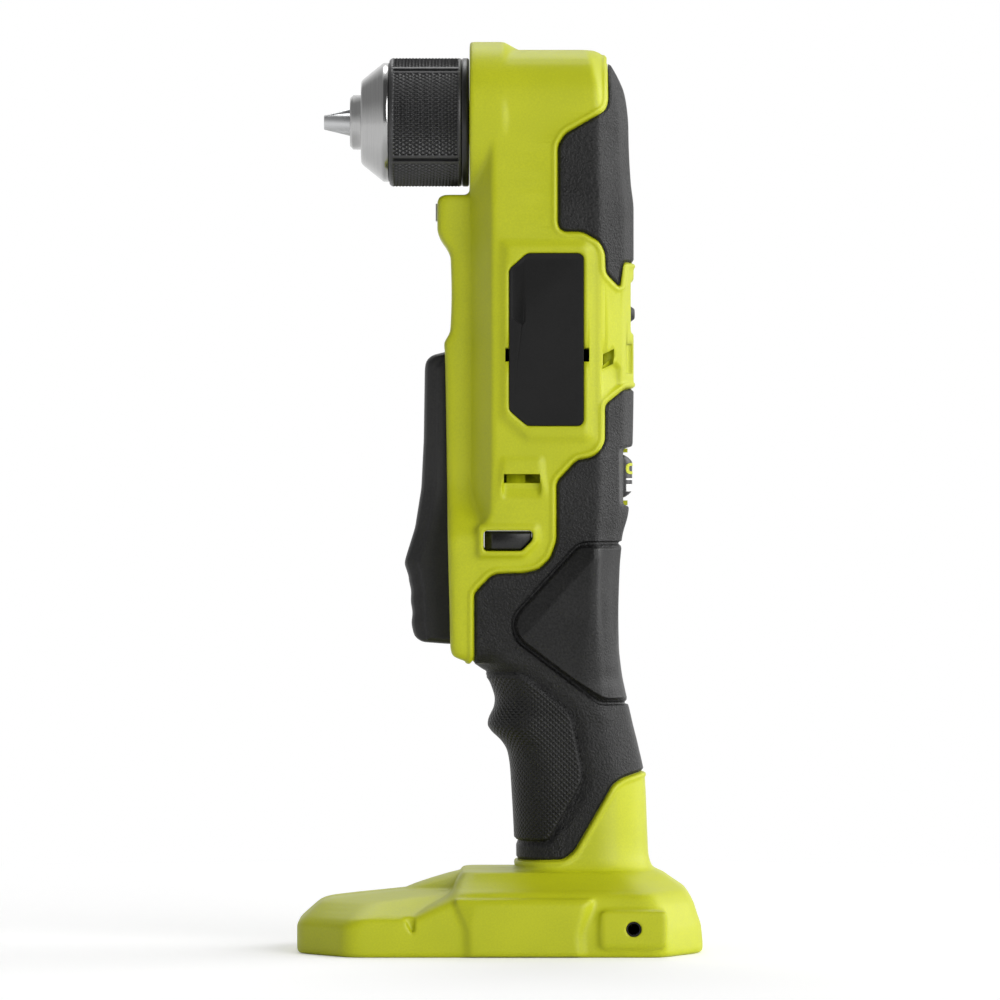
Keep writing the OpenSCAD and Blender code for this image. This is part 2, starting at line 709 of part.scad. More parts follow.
module nameplate_right() {
    mirror([0, 1, 0]) nameplate_form();
}

module rest_stud() {
    color(black) translate([br - 1, 0, stud_z]) rotate([0, 90, 0]) {
        translate([0, 0, -3]) cylinder(h = 3.6, r = 1.2);
        translate([0, 0, 0.1]) cylinder(h = 1.4, r1 = 2.2, r2 = 1.5);
    }
}

// Work light lens and its board
module led_lens() {
    color([0.9, 0.9, 0.85]) translate([-spine_nose - 0.5, -lens_half, lens_low])
        cube([3.7, 2 * lens_half, lens_high - lens_low]);
}

module led_board() {
    color([0.1, 0.35, 0.2]) translate([-spine_nose + 3.4, -lens_half - 1, lens_low - 1])
        cube([1.6, 2 * lens_half + 2, lens_high - lens_low + 2]);
}

module mode_board() {
    color([0.1, 0.35, 0.2])
        translate([br - 7.3, -8.8, button_low - 1]) cube([1.6, 17.6, button_high - button_low + 1.4]);
}

module control_board() {
    color([0.1, 0.35, 0.2]) translate([19.7, -13, 86]) cube([1.6, 26, 31]);
}

module control_tray() {
    color(dark) difference() {
        translate([21.4, -13, 86]) cube([6, 26, 31]);
        translate([21, -11.6, 87.6]) cube([3, 23.2, 27.8]);
    }
}

// Plan outline of the terminal block
block_plan = [[8.6, -7], [12, -11.5], [26, -11.5], [33.4, -5], [33.4, 5], [26, 11.5], [12, 11.5], [8.6, 7]];

module terminal_block() {
    color(dark) difference() {
        translate([0, 0, socket_depth + 1.6]) linear_extrude(9) polygon(block_plan);
        for (x = [14, 21, 28]) translate([x - 0.6, -5, socket_depth]) cube([1.2, 10, 8]);
    }
}

module battery_contacts() {
    color([0.8, 0.6, 0.3]) for (x = [14, 21, 28])
        translate([x - 0.5, -4.8, socket_depth - 5]) cube([1, 9.6, 12.4]);
}

module switch_body() {
    color(dark) difference() {
        translate([switch_front, -9.4, switch_low])
            cube([switch_rear - switch_front, 18.8, switch_high - switch_low]);
        translate([switch_front - 1, 0, plunger_z]) rotate([0, 90, 0]) cylinder(h = 15, r = 3.3);
    }
}

module switch_plunger() {
    color(steel) translate([-plunger_tip, 0, plunger_z]) rotate([0, 90, 0])
        cylinder(h = plunger_tip + 6, r = 3);
}

module trigger_pin() {
    color(steel) translate([pivot_x, 11.4, pivot_z]) rotate([90, 0, 0]) cylinder(h = 22.8, r = pin_r);
}

trigger_outline = [
    [-15, 173.6], [-19.8, 172.4], [-21.4, 170.8], [-21.8, 168.6], [-22.1, 148], [-22.8, 134],
    [-24.6, 122.6], [-27.4, 113.6], [-27.7, 112], [-26.3, 107.6], [-25.6, 101.6], [-25.6, 93.4],
    [-24.8, 91], [-22.6, 89.4], [-14.6, 88.8], [-9.4, 89.2], [-9.4, 165], [-9.6, 171], [-10.6, 172.8]];

module trigger() {
    color(black) difference() {
        translate([0, trigger_half, 0]) side(0, 2 * trigger_half) polygon(trigger_outline);
        translate([pivot_x, 20, pivot_z]) rotate([90, 0, 0]) cylinder(h = 40, r = pin_r + running + 0.02);
    }
}

module direction_selector() {
    color(black) translate([0, bh - 1, 0]) side(0, 2 * bh - 2) polygon([
        [selector_x - selector_length / 2, selector_z - selector_height / 2],
        [selector_x + selector_length / 2 - 3, selector_z - selector_height / 2],
        [selector_x + selector_length / 2, selector_z - selector_height / 2 + 3],
        [selector_x + selector_length / 2, selector_z + selector_height / 2],
        [selector_x - selector_length / 2, selector_z + selector_height / 2]]);
}

module mode_button() {
    color(black) translate([br - 4.6, -button_half, button_low])
        cube([4.4, 2 * button_half, button_high - button_low]);
}

// Wiring: a round wire through the given points
module wire(p, r) {
    for (i = [0:len(p) - 2]) {
        v = p[i + 1] - p[i];
        translate(p[i]) rotate([0, acos(v.z / norm(v)), atan2(v.y, v.x)]) cylinder(h = norm(v), r = r);
    }
}

module wiring() {
    color([0.7, 0.1, 0.1]) for (y = [-5.5, 5.5])
        wire([[24.4, y, socket_depth + 10.7], [24.4, y, 85.9]], 1.3);
    color([0.7, 0.1, 0.1]) for (y = [-5, 0, 5]) wire([[25.9, y, 117.1], [25.9, y, board_z - 0.1]], 1.2);
    color([0.7, 0.1, 0.1]) for (y = [-6.6, 6.6]) wire([[switch_rear + 0.02, y, 99], [19.68, y, 99]], 1.1);
}

// Drive line

// A ball bearing about Z, standing on z = 0
module ball_bearing(outer, inner, w, balls) {
    t = (outer - inner) * 0.3;
    mid = (outer + inner) / 2;
    color(steel) {
        rotate_extrude() translate([outer - t, 0]) square([t, w]);
        rotate_extrude() translate([inner, 0]) square([t, w]);
        for (k = [0:balls - 1])
            rotate([0, 0, 360 / balls * k]) translate([mid, 0, w / 2])
                sphere(r = mid - inner - t - 0.04, $fn = 24);
    }
}

// Turns local Z to point forward along the spindle, at the spindle's height
module on_spindle() {
    translate([0, 0, sz]) rotate([0, -90, 0]) children();
}

// Outer form of the gear case, grown by g
module case_form(g) {
    on_spindle() translate([0, 0, -case_rear - g])
        cylinder(h = case_rear + case_front + 2 * g, r = case_r + g);
    on_spindle() for (a = [45, 135, 270]) rotate([0, 0, a - 90]) translate([ear_at, 0, case_front - 9 - g])
        cylinder(h = 9 + 2 * g, r = ear_r + g);
    translate([motor_x, 0, skirt_top - 1 - g]) cylinder(h = sz - skirt_top, r = case_in - 0.6 + g);
    translate([motor_x, 0, skirt_bottom - g])
        cylinder(h = skirt_top - skirt_bottom + 2 * g, r = stack_r + g);
}

module gear_case() {
    color(dark) difference() {
        case_form(0);
        on_spindle() translate([0, 0, -case_rear + case_wall]) cylinder(h = 60, r = case_in);
        on_spindle() translate([0, 0, -case_rear - 1]) cylinder(h = 10, r = 6.02);
        on_spindle() translate([0, 0, case_front - cover_t]) cylinder(h = 20, r = 40);
        for (a = [45, 135, 270]) on_spindle() rotate([0, 0, a - 90]) translate([ear_at, 0, case_front - 8])
            cylinder(h = 9, r = 1.3);
        translate([motor_x, 0, pinion_bearing_z]) cylinder(h = 6, r = 9.52);
        translate([motor_x, 0, pinion_bearing_z + 2]) cylinder(h = 22, r = 7.4);
        translate([motor_x, 0, skirt_bottom - 1]) cylinder(h = 7, r = 16.8);
        translate([motor_x, 0, skirt_bottom - 1]) cylinder(h = 12, r = 6);
    }
}

module gear_case_cover() {
    color(dark) on_spindle() difference() {
        union() {
            translate([0, 0, case_front - cover_t]) cylinder(h = cover_t, r = case_r);
            translate([0, 0, case_front - cover_t - 3.4]) cylinder(h = 4, r = case_in - 0.05);
            for (a = [45, 135, 270]) rotate([0, 0, a - 90]) translate([ear_at, 0, case_front - cover_t])
                cylinder(h = cover_t, r = ear_r);
        }
        translate([0, 0, bearing_x - bearing_w]) cylinder(h = bearing_w, r = bearing_r + 0.02);
        translate([0, 0, -20]) cylinder(h = 40, r = 9);
        for (a = [45, 135, 270]) rotate([0, 0, a - 90]) translate([ear_at, 0, -20])
            cylinder(h = 40, r = 1.5);
        for (a = [45, 135, 270]) rotate([0, 0, a - 90]) translate([ear_at, 0, case_front - 1.6])
            cylinder(h = 4, r = ear_r + 0.5);
    }
}

module gear_case_screws() {
    color(steel) on_spindle() for (a = [45, 135, 270]) rotate([0, 0, a - 90])
        translate([ear_at, 0, case_front - 7.4]) {
        cylinder(h = 6, r = 1.2);
        translate([0, 0, 5.8]) cylinder(h = 1.5, r = 2);
    }
}

module spindle_bearing() {
    on_spindle() translate([0, 0, bearing_x - bearing_w])
        ball_bearing(bearing_r, spindle_r + running, bearing_w, 9);
}

module spindle_bush() {
    color([0.7, 0.55, 0.3]) on_spindle() translate([0, 0, -case_rear]) rotate_extrude()
        translate([journal_r + running, 0]) square([2 - running, 5.6]);
}

module spindle() {
    color(steel) on_spindle() difference() {
        rotate_extrude() polygon([
            [0, -case_rear + 0.2], [journal_r, -case_rear + 0.2], [journal_r, -case_rear + 6],
            [spindle_r, -case_rear + 6],
            [spindle_r, bearing_x + 0.2], [6.6, bearing_x + 0.2], [6.6, head_face + 0.2],
            [stub_r, head_face + 0.2],
            [stub_r, stub_end], [0, stub_end]]);
        translate([0, 0, stub_end - 10]) cylinder(h = 12, r = 2.05);
    }
}

// Planetary and bevel teeth

function roll(a) = tan(a) * 180 / PI - a;

// Half angle of a tooth at radius r, with teeth per turn z, pitch radius p and side play s
function tooth_half(r, p, z, s) =
    let (b = p * cos(pressure), a = r > b ? acos(b / r) : 0)
    90 / z + roll(pressure) - roll(a) - s / p * 45 / PI - (r < b ? (b - r) / b * 24 : 0);

// One gear's outline from root radius f to tip radius t
function gear_points(z, p, f, t, s, turn) =
    let (rr = [f, f + (t - f) * 0.36, f + (t - f) * 0.68, t], hs = [for (r = rr) tooth_half(r, p, z, s)])
    [for (k = [0:z - 1]) let (c = 360 / z * k + turn) each concat(
        [for (i = [0:3]) rr[i] * [cos(c - hs[i]), sin(c - hs[i])]],
        [for (i = [3:-1:0]) rr[i] * [cos(c + hs[i]), sin(c + hs[i])]])];

module spur(z, turn) {
    p = spur_module * z / 2;
    polygon(gear_points(z, p, p - 1.15 * spur_module, p + 0.8 * spur_module, spur_play / 2, turn));
}

module ring_gear() {
    color(dark) translate([motor_x, 0, ring_bottom]) difference() {
        cylinder(h = skirt_bottom - ring_bottom, r = stack_r);
        translate([0, 0, -1]) linear_extrude(20) polygon(gear_points(
            ring_teeth, ring_pitch, ring_pitch - 0.75 * spur_module, ring_pitch + 1.1 * spur_module,
            -spur_play / 2, 180 / ring_teeth));
    }
}

module planet_gear(k) {
    color(steel) translate([motor_x, 0, ring_bottom + 1.2]) rotate([0, 0, 120 * k])
        translate([planet_orbit, 0, 0])
        difference() {
            linear_extrude(7) spur(planet_teeth, 180 / planet_teeth);
            translate([0, 0, -1]) cylinder(h = 9, r = 2 + running + 0.01);
        }
}

module planet_gear_1() { planet_gear(0); }
module planet_gear_2() { planet_gear(1); }
module planet_gear_3() { planet_gear(2); }

module planet_carrier() {
    color(steel) translate([motor_x, 0, 0]) {
        translate([0, 0, skirt_bottom + 0.6]) cylinder(h = 4, r = 14);
        for (k = [0:2]) rotate([0, 0, 120 * k]) translate([planet_orbit, 0, ring_bottom + 1])
            cylinder(h = skirt_bottom - ring_bottom + 1, r = 2);
        translate([0, 0, skirt_bottom + 2]) cylinder(h = pinion_seat_z - skirt_bottom - 2, r = 4);
        translate([0, 0, pinion_seat_z - 1]) cylinder(h = 7.2, r = 1.9);
    }
}

// Straight bevel teeth about Z with the cone's apex at the origin: pitch radius p, cone angle c
module bevel(z, p, c, back_r, back_z, front_z, bore) {
    s = 1 - bevel_face / cone_length;
    v = p / cos(c);
    zv = z / cos(c);
    m = bevel_module;
    rr = [v - 1.1 * m, v - 0.15 * m, v + 0.75 * m];
    flank = [for (r = rr) tooth_half(r, v, zv, bevel_play / 2) / cos(c)];
    hs = [max(flank[0], flank[1] + 0.5), flank[1], flank[2]];
    pts = [for (k = [0:z - 1]) each concat(
        [for (i = [0:2]) [rr[i] - v, 360 / z * k - hs[i]]],
        [for (i = [2:-1:0]) [rr[i] - v, 360 / z * k + hs[i]]])];
    n = len(pts);
    big = [for (q = pts) let (r = p + q[0] * cos(c))
        [r * cos(q[1]), r * sin(q[1]), p / tan(c) - q[0] * sin(c)]];
    round = [for (i = [0:n - 1]) [cos(360 / n * (i - 2.5)), sin(360 / n * (i - 2.5))]];
    rings = concat(
        s * big, big,
        [for (q = round) [back_r * q[0], back_r * q[1], back_z]],
        [for (q = round) [bore * q[0], bore * q[1], back_z]],
        [for (q = round) [bore * q[0], bore * q[1], front_z]]);
    polyhedron(points = rings, faces = [for (j = [0:4]) for (i = [0:n - 1])
        let (a = j * n, b = (j + 1) % 5 * n, i2 = (i + 1) % n)
        each [[a + i, b + i, b + i2], [a + i, b + i2, a + i2]]]);
}

module bevel_gear() {
    color(steel) translate([motor_x, 0, 0]) on_spindle() rotate([0, 0, 180 / gear_teeth])
        bevel(gear_teeth, bevel_r, gear_cone, 9, motor_x - 4, 3.6, spindle_r + 0.03);
}

module bevel_pinion() {
    color(steel) translate([motor_x, 0, sz]) rotate([180, 0, 0])
        bevel(pinion_teeth, pinion_r, 90 - gear_cone, 3.9, bevel_r + 1.2, bevel_r - 5.4, 1.94);
}

module pinion_bearing() {
    translate([motor_x, 0, pinion_bearing_z]) ball_bearing(9.5, 4 + running, 6, 8);
}

module motor_mount_plate() {
    color(dark) translate([motor_x, 0, 0]) difference() {
        union() {
            translate([0, 0, plate_bottom]) cylinder(h = ring_bottom - plate_bottom, r = stack_r);
            translate([0, 0, front_bearing_z - 0.6]) cylinder(h = 5, r = 9.6);
        }
        translate([0, 0, front_bearing_z - 1])
            cylinder(h = small_bearing_w + 1, r = small_bearing_r + 0.02);
        translate([0, 0, 150]) cylinder(h = 80, r = 5.4);
        for (k = [0:2]) rotate([0, 0, 120 * k + 60]) translate([14.4, 0, 150]) cylinder(h = 80, r = 1.6);
    }
}

module motor_front_bearing() {
    translate([motor_x, 0, front_bearing_z])
        ball_bearing(small_bearing_r, shaft_r + running, small_bearing_w, 7);
}

module motor_rear_bearing() {
    translate([motor_x, 0, rear_bearing_z])
        ball_bearing(small_bearing_r, shaft_r + running, small_bearing_w, 7);
}

module rotor_shaft() {
    color(steel) translate([motor_x, 0, 0]) {
        translate([0, 0, shaft_end]) cylinder(h = ring_bottom + 0.6 - shaft_end, r = shaft_r);
        translate([0, 0, ring_bottom + 0.5]) linear_extrude(8.2) spur(sun_teeth, 0);
    }
}

module rotor_core() {
    color(dark) translate([motor_x, 0, stator_bottom]) difference() {
        cylinder(h = stator_length, r = rotor_r);
        translate([0, 0, -1]) cylinder(h = stator_length + 2, r = shaft_r + 0.02);
    }
}

module cooling_fan() {
    color(black) translate([motor_x, 0, 0]) difference() {
        union() {
            translate([0, 0, fan_top - 1.6]) cylinder(h = 1.6, r = fan_r);
            translate([0, 0, fan_top - 9]) cylinder(h = 9, r = 5.6);
            for (k = [0:10]) rotate([0, 0, 360 / 11 * k]) translate([5, -0.7, fan_top - 8.6])
                cube([fan_r - 5.4, 1.4, 8]);
        }
        translate([0, 0, fan_top - 20]) cylinder(h = 40, r = shaft_r + 0.02);
    }
}

module stator_core() {
    slot_r = stator_r - 3.2;
    tooth = asin(2.4 / slot_r);
    arc = [for (i = [0:6]) let (a = tooth + (60 - 2 * tooth) * i / 6) slot_r * [cos(a), sin(a)]];
    color(dark) translate([motor_x, 0, stator_bottom]) difference() {
        cylinder(h = stator_length, r = stator_r);
        translate([0, 0, -1]) cylinder(h = stator_length + 2, r = rotor_r + 0.6);
        for (k = [0:5]) rotate([0, 0, 60 * k]) translate([0, 0, -1])
            linear_extrude(stator_length + 2) polygon(concat([4.8 * [cos(30), sin(30)]], arc));
    }
}

module stator_windings() {
    color([0.72, 0.4, 0.2]) translate([motor_x, 0, stator_bottom]) for (k = [0:5])
        rotate([0, 0, 60 * k]) difference() {
        translate([rotor_r + 2, -4.7, -3.4]) cube([stator_r - rotor_r - 6, 9.4, stator_length + 6.8]);
        translate([rotor_r, -2.6, -0.2]) cube([10, 5.2, stator_length + 0.4]);
    }
}

module motor_board() {
    color([0.1, 0.35, 0.2]) translate([motor_x, 0, board_z]) difference() {
        cylinder(h = 1.6, r = 15.4);
        translate([0, 0, -1]) cylinder(h = 4, r = 8);
    }
}

// Chuck

module chuck_body() {
    color(steel) on_spindle() difference() {
        rotate_extrude() polygon([
            [stub_r + 0.03, collar_back], [11, collar_back], [11, jaw_back - 0.9], [8.1, jaw_back - 0.4],
            [8.1, sleeve_front + 3.2], [11.4, sleeve_front + 3.2], [11.4, hood_front - 1.9],
            [nose_r, hood_front - 1.9],
            [nose_r, nose_front - 0.9], [nose_r - 0.9, nose_front], [bit_r, nose_front],
            [bit_r, stub_end + 0.2],
            [stub_r + 0.03, stub_end + 0.2]]);
        for (k = [0:2]) rotate([0, 0, 120 * k + jaw_phase]) jaw_rod(jaw_r + 0.07, 60);
    }
}

// The slanted rod that a jaw is cut from, its axis in the local XZ plane
module jaw_rod(r, length) {
    translate([jaw_offset, 0, jaw_front]) rotate([0, 180 - jaw_angle, 0]) translate([0, 0, -4])
        cylinder(h = length + 4, r = r);
}

module jaw(k) {
    color(steel) on_spindle() rotate([0, 0, 120 * k + jaw_phase]) intersection() {
        jaw_rod(jaw_r, 40);
        translate([0, 0, jaw_back]) linear_extrude(jaw_length)
            polygon([[0.1, 0], [20.1, -34.4], [20.1, 34.4]]);
    }
}

module jaw_1() { jaw(0); }
module jaw_2() { jaw(1); }
module jaw_3() { jaw(2); }

module chuck_screw() {
    color(steel) on_spindle() {
        translate([0, 0, stub_end - 9]) cylinder(h = 9.4, r = 2);
        translate([0, 0, stub_end + 0.25]) cylinder(h = 2.4, r = 3.8);
    }
}

module chuck_rear_collar() {
    color(black) on_spindle() rotate_extrude()
        polygon([[11.04, collar_back], [sleeve_r - 0.6, collar_back], [sleeve_r, collar_back + 0.5],
                 [sleeve_r, sleeve_back - 0.25], [11.04, sleeve_back - 0.25]]);
}

module chuck_sleeve() {
    color(black) on_spindle() rotate_extrude()
        polygon([[sleeve_r - 2.6, sleeve_back], [sleeve_r - 0.6, sleeve_back],
                 [sleeve_r, sleeve_back + 0.6],
                 [sleeve_r, sleeve_front - 0.8], [sleeve_r - 0.6, sleeve_front],
                 [sleeve_r - 2.6, sleeve_front]]);
}

module chuck_hood() {
    color(steel) on_spindle() rotate_extrude()
        polygon([[sleeve_r - 4.6, sleeve_front - 5], [sleeve_r - 2.65, sleeve_front - 5],
                 [sleeve_r - 2.65, sleeve_front + 0.05],
                 [sleeve_r - 1.4, sleeve_front + 0.05], [sleeve_r - 1.4, sleeve_front + 1.8],
                 [hood_front_r, hood_front],
                 [nose_r + 0.35, hood_front], [nose_r + 0.35, hood_front - 1.5],
                 [hood_front_r - 1.2, hood_front - 1.5],
                 [sleeve_r - 4.6, sleeve_front + 2]]);
}

module chuck_nut() {
    color(steel) on_spindle() rotate_extrude()
        polygon([[8.6, sleeve_front - 0.6], [sleeve_r - 4.65, sleeve_front - 0.6],
                 [sleeve_r - 4.65, sleeve_front + 1.8],
                 [sleeve_r - 5.4, sleeve_front + 2.8], [8.6, sleeve_front + 2.8]]);
}

housing_left();
housing_right();
housing_screws();
accessory_inserts();
rear_bumper_left();
rear_bumper_right();
handle_grip_left();
handle_grip_right();
nameplate_left();
nameplate_right();
rest_stud();
led_lens();
led_board();
mode_board();
control_board();
control_tray();
terminal_block();
battery_contacts();
switch_body();
switch_plunger();
trigger_pin();
trigger();
direction_selector();
mode_button();
wiring();
gear_case();
gear_case_cover();
gear_case_screws();
spindle_bearing();
spindle_bush();
spindle();
bevel_gear();
bevel_pinion();
pinion_bearing();
planet_carrier();
planet_gear_1();
planet_gear_2();
planet_gear_3();
ring_gear();
motor_mount_plate();
motor_front_bearing();
motor_rear_bearing();
rotor_shaft();
rotor_core();
cooling_fan();
stator_core();
stator_windings();
motor_board();
chuck_body();
chuck_screw();
chuck_rear_collar();
chuck_sleeve();
chuck_hood();
chuck_nut();
jaw_1();
jaw_2();
jaw_3();
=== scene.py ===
import math

import bmesh
import bpy
import numpy as np
from mathutils import Matrix, Vector


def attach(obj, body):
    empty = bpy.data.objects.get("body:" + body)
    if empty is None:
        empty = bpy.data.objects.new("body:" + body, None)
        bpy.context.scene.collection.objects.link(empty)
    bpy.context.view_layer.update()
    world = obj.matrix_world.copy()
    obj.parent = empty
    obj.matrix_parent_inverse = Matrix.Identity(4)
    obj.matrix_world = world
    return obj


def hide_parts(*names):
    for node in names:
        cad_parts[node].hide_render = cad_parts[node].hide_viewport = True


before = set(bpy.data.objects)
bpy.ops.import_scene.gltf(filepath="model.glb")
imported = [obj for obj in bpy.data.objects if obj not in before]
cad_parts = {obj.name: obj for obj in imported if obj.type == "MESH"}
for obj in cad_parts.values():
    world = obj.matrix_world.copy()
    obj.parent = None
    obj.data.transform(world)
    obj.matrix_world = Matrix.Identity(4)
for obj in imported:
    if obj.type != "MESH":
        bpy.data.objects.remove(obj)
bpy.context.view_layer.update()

# Housing blank
# The outer shape that the two injection moulded halves share, before the soft black overmould is parted
# from the hard lime shell. Only the left half is shaped, in millimetres, a little past the middle plane.
body_stations = [
    # height, front, rear, half width, front chamfer x and y, rear facet x, crease x and y, flat y, rounding
    (19, 0.5, 49, 25.7, 7, 9, 13, 4, 6, 13, 6),
    (21.5, 3, 46.5, 22.4, 7, 9, 13, 4, 6, 12, 6),
    (24, 4.3, 44.3, 19.8, 7, 8.5, 12, 4, 5.5, 11, 6),
    (28, 4.7, 43, 18.2, 7, 8, 11, 4, 5, 10.5, 6),
    (34, 4.5, 42.7, 17.6, 7, 8, 11, 4, 5, 10, 6),
    (50, 3.6, 42, 17.2, 7, 8, 11, 4, 5, 10, 6),
    (54, 3.3, 41.3, 17.2, 7, 8, 11, 4, 5, 10, 6),
    (58.3, 2.5, 40.3, 17.2, 7, 8, 11, 4, 5, 10, 6),
    (61.3, 0.7, 39.6, 17.2, 7.5, 8, 11, 4, 5, 10, 6),
    (64, -2.2, 38.9, 17.2, 8, 8.4, 11, 4, 5, 10, 6),
    (65.6, -3.2, 38.5, 17.2, 8, 8.6, 11, 4, 5, 10, 6),
    (67.4, -2.8, 38.1, 17.3, 8, 8.4, 10, 4, 5, 10, 6),
    (70.4, -1.3, 37.4, 17.4, 8, 8, 10, 4, 5, 10, 6),
    (73.2, -1, 36.6, 17.5, 8, 8, 9.5, 4, 5, 10, 6),
    (76.2, -1.8, 35.9, 17.7, 8, 8, 9, 3.5, 5, 10, 5),
    (79, -3, 35.3, 18, 8, 8, 8.5, 3.5, 5, 10, 5),
    (83, -7.2, 34.7, 18.6, 8, 8.4, 8, 3, 5, 10, 4),
    (88, -8.6, 34.2, 19.4, 4, 4.4, 7.5, 3, 5, 10, 3),
    (98, -8.8, 34, 20.6, 2.6, 3.2, 7, 3, 5, 10, 1.4),
    (110, -8.8, 34.3, 22.2, 2.6, 3.4, 7, 3, 6, 11, 1),
    (120, -8.8, 35.3, 23.2, 2.8, 3.6, 7.5, 3, 6.6, 12.2, 1),
    (127, -8.8, 37.1, 23.8, 6.2, 10.6, 8.8, 3, 7, 13, 1),
    (146, -8.8, 38.3, 24, 6.6, 11.4, 9.8, 3, 7, 14, 0.9),
    (165, -8.8, 38.6, 24, 6.6, 11.4, 10, 3, 7, 14, 0.9),
    (199, -8.8, 38.6, 24, 6.6, 11.4, 10, 3, 7, 14, 0.9),
    (214.5, -8.8, 38.6, 23.6, 6.6, 11, 10, 3, 7, 14, 0.9),
    (222, -8.8, 37.8, 22.6, 6.6, 10, 9.5, 3, 7, 14, 0.9),
    (233.5, -8.8, 37.2, 22, 6.6, 9.4, 9, 3, 7, 14, 0.9),
    (239, -8.8, 37.1, 22, 1.4, 1.4, 9, 3, 7, 14, 0.9),
    (243.4, -8.8, 36.7, 22, 1.4, 1.4, 8.5, 3, 7, 14, 0.9),
    (248, -8.8, 35.9, 21.2, 1.4, 1.4, 8, 3, 7, 13, 0.9),
    (252.7, -8.8, 34, 19, 1.4, 1.4, 7, 3, 6, 12, 0.9),
    (255.5, -8.8, 32.5, 16.8, 1.4, 1.6, 6, 3, 5, 11, 0.9),
    (258.1, -8.8, 30.8, 13.4, 1.4, 1.8, 5, 2.5, 4, 9, 0.9),
    (259.9, -8.7, 29, 9.5, 1.4, 2, 4, 2, 3, 6.5, 0.9),
    (260.7, -8.2, 27.2, 6, 1.4, 1.5, 3, 1.5, 1.2, 3, 0.9),
]
spine_stations = [
    # height, front, half width
    (83.4, -8.4, 16), (85.6, -13.6, 18.2), (88, -14.3, 19.2), (98, -14.5, 20.5), (110, -14.8, 22.1),
    (119, -15, 22.9), (124, -15.1, 20), (130, -15.2, 15), (136, -15.3, 12.8), (173.6, -16, 12.6),
    (175.6, -16.2, 12.6), (177.2, -15.4, 12.6), (179, -14.4, 12.6), (190, -14, 12.6), (200.6, -14.3, 12.6),
    (203, -15.2, 12.6), (206, -17.2, 12.4), (208.4, -18.1, 12.2), (216.6, -18.1, 12), (218, -17.5, 11.6),
    (218.6, -16.1, 10.6),
]
foot_stations = [
    # height, front, rear, half width
    (0, -57.7, 57.5, 34.3), (0.8, -58.5, 58.5, 35), (8.4, -58.5, 57.9, 35), (9, -58.2, 57.7, 34.9),
    (10.4, -56.8, 57.2, 34.6), (11, -56.1, 57, 34), (13.2, -53.7, 56.1, 29.8), (14.6, -52, 55.4, 27),
    (15.6, -48.9, 54.8, 25), (16.6, -40.5, 54, 23), (17.4, -33, 53.2, 21.4), (18, -27.5, 52.5, 20.2),
]
deck_stations = [
    # height, front, rear, half width
    (9, -31, 57.4, 34.9), (10.6, -28.4, 57, 34.7), (14.4, -20.6, 55.9, 34), (17.6, -14.6, 54, 32.6),
    (18.5, -13.8, 53.2, 31.2), (19.2, -13.4, 52.2, 29.2), (21, -12.8, 49.6, 25.4), (22.6, -11.6, 47.4, 22.8),
    (23.7, -10.8, 45, 21.2),
]
brow_stations = [
    # height, front, rear, half width
    (16.4, -30.5, 20, 13), (18, -28, 20, 13), (22.5, -14.8, 20, 12.5), (23.3, -11.4, 20, 12),
    (23.8, -5, 20, 11),
]
past_middle, past_side = 8, 60
chuck_axis = 240


def eased(stations, heights):
    """Section values at the given heights, eased between the stations without overshoot."""
    table = np.array(stations, float)
    z, value = table[:, 0], table[:, 1:]
    slope = np.diff(value, axis=0) / np.diff(z)[:, None]
    lean = np.zeros_like(value)
    same = slope[:-1] * slope[1:] > 0
    lean[1:-1][same] = (2 * slope[:-1] * slope[1:])[same] / (slope[:-1] + slope[1:])[same]
    k = np.clip(np.searchsorted(z, heights, "right") - 1, 0, len(z) - 2)
    gap = (z[k + 1] - z[k])[:, None]
    t = (heights - z[k])[:, None] / gap
    return ((1 + 2 * t) * (1 - t) ** 2 * value[k] + t * (1 - t) ** 2 * gap * lean[k]
            + t * t * (3 - 2 * t) * value[k + 1] + t * t * (t - 1) * gap * lean[k + 1])


def drawn_in(outline, inset):
    """A closed outline with its edges moved to their inner side, or outwards where inset is negative."""
    p = np.array(outline, float)
    along = np.roll(p, -1, axis=0) - p
    along /= np.linalg.norm(along, axis=1)[:, None]
    area = np.sum(p[:, 0] * np.roll(p[:, 1], -1) - np.roll(p[:, 0], -1) * p[:, 1])
    inward = np.stack([-along[:, 1], along[:, 0]], 1) * np.sign(area)
    before = np.roll(inward, 1, axis=0)
    after_d = np.broadcast_to(inset, len(p)).astype(float)[:, None]
    before_d = np.roll(after_d, 1, axis=0)
    c = np.sum(inward * before, axis=1)[:, None]
    even = (before_d + after_d) / 2 * (inward + before) / (1 + c)
    split = before_d * (before - c * inward) + after_d * (inward - c * before)
    split = split / np.maximum(1 - c * c, 1e-6)
    return p + np.where(before_d == after_d, even, split)


def soft_corners(outline, radius, steps=5):
    """A closed outline with each corner turned into a short curve."""
    p = np.array(outline, float)
    curve = []
    for a, b, c in zip(np.roll(p, 1, axis=0), p, np.roll(p, -1, axis=0)):
        to_a, to_c = np.linalg.norm(a - b), np.linalg.norm(c - b)
        u = b + (a - b) / to_a * min(radius, 0.45 * to_a)
        v = b + (c - b) / to_c * min(radius, 0.45 * to_c)
        curve += [u * (1 - s) ** 2 + 2 * b * s * (1 - s) + v * s * s for s in np.linspace(0, 1, steps + 1)]
    return curve


def body_section(row, inset):
    """Head, barrel and handle: a chamfered front, flat sides and a rear of two facets."""
    front, rear, half, fx, fy, facet, crease, crease_y, flat_y, rounding = row
    corners = [(front, past_middle), (front, fy - half), (front + fx, -half), (rear - facet, -half),
               (rear - crease, crease_y - half), (rear, flat_y - half), (rear, past_middle)]
    return soft_corners(drawn_in(corners, inset), rounding)


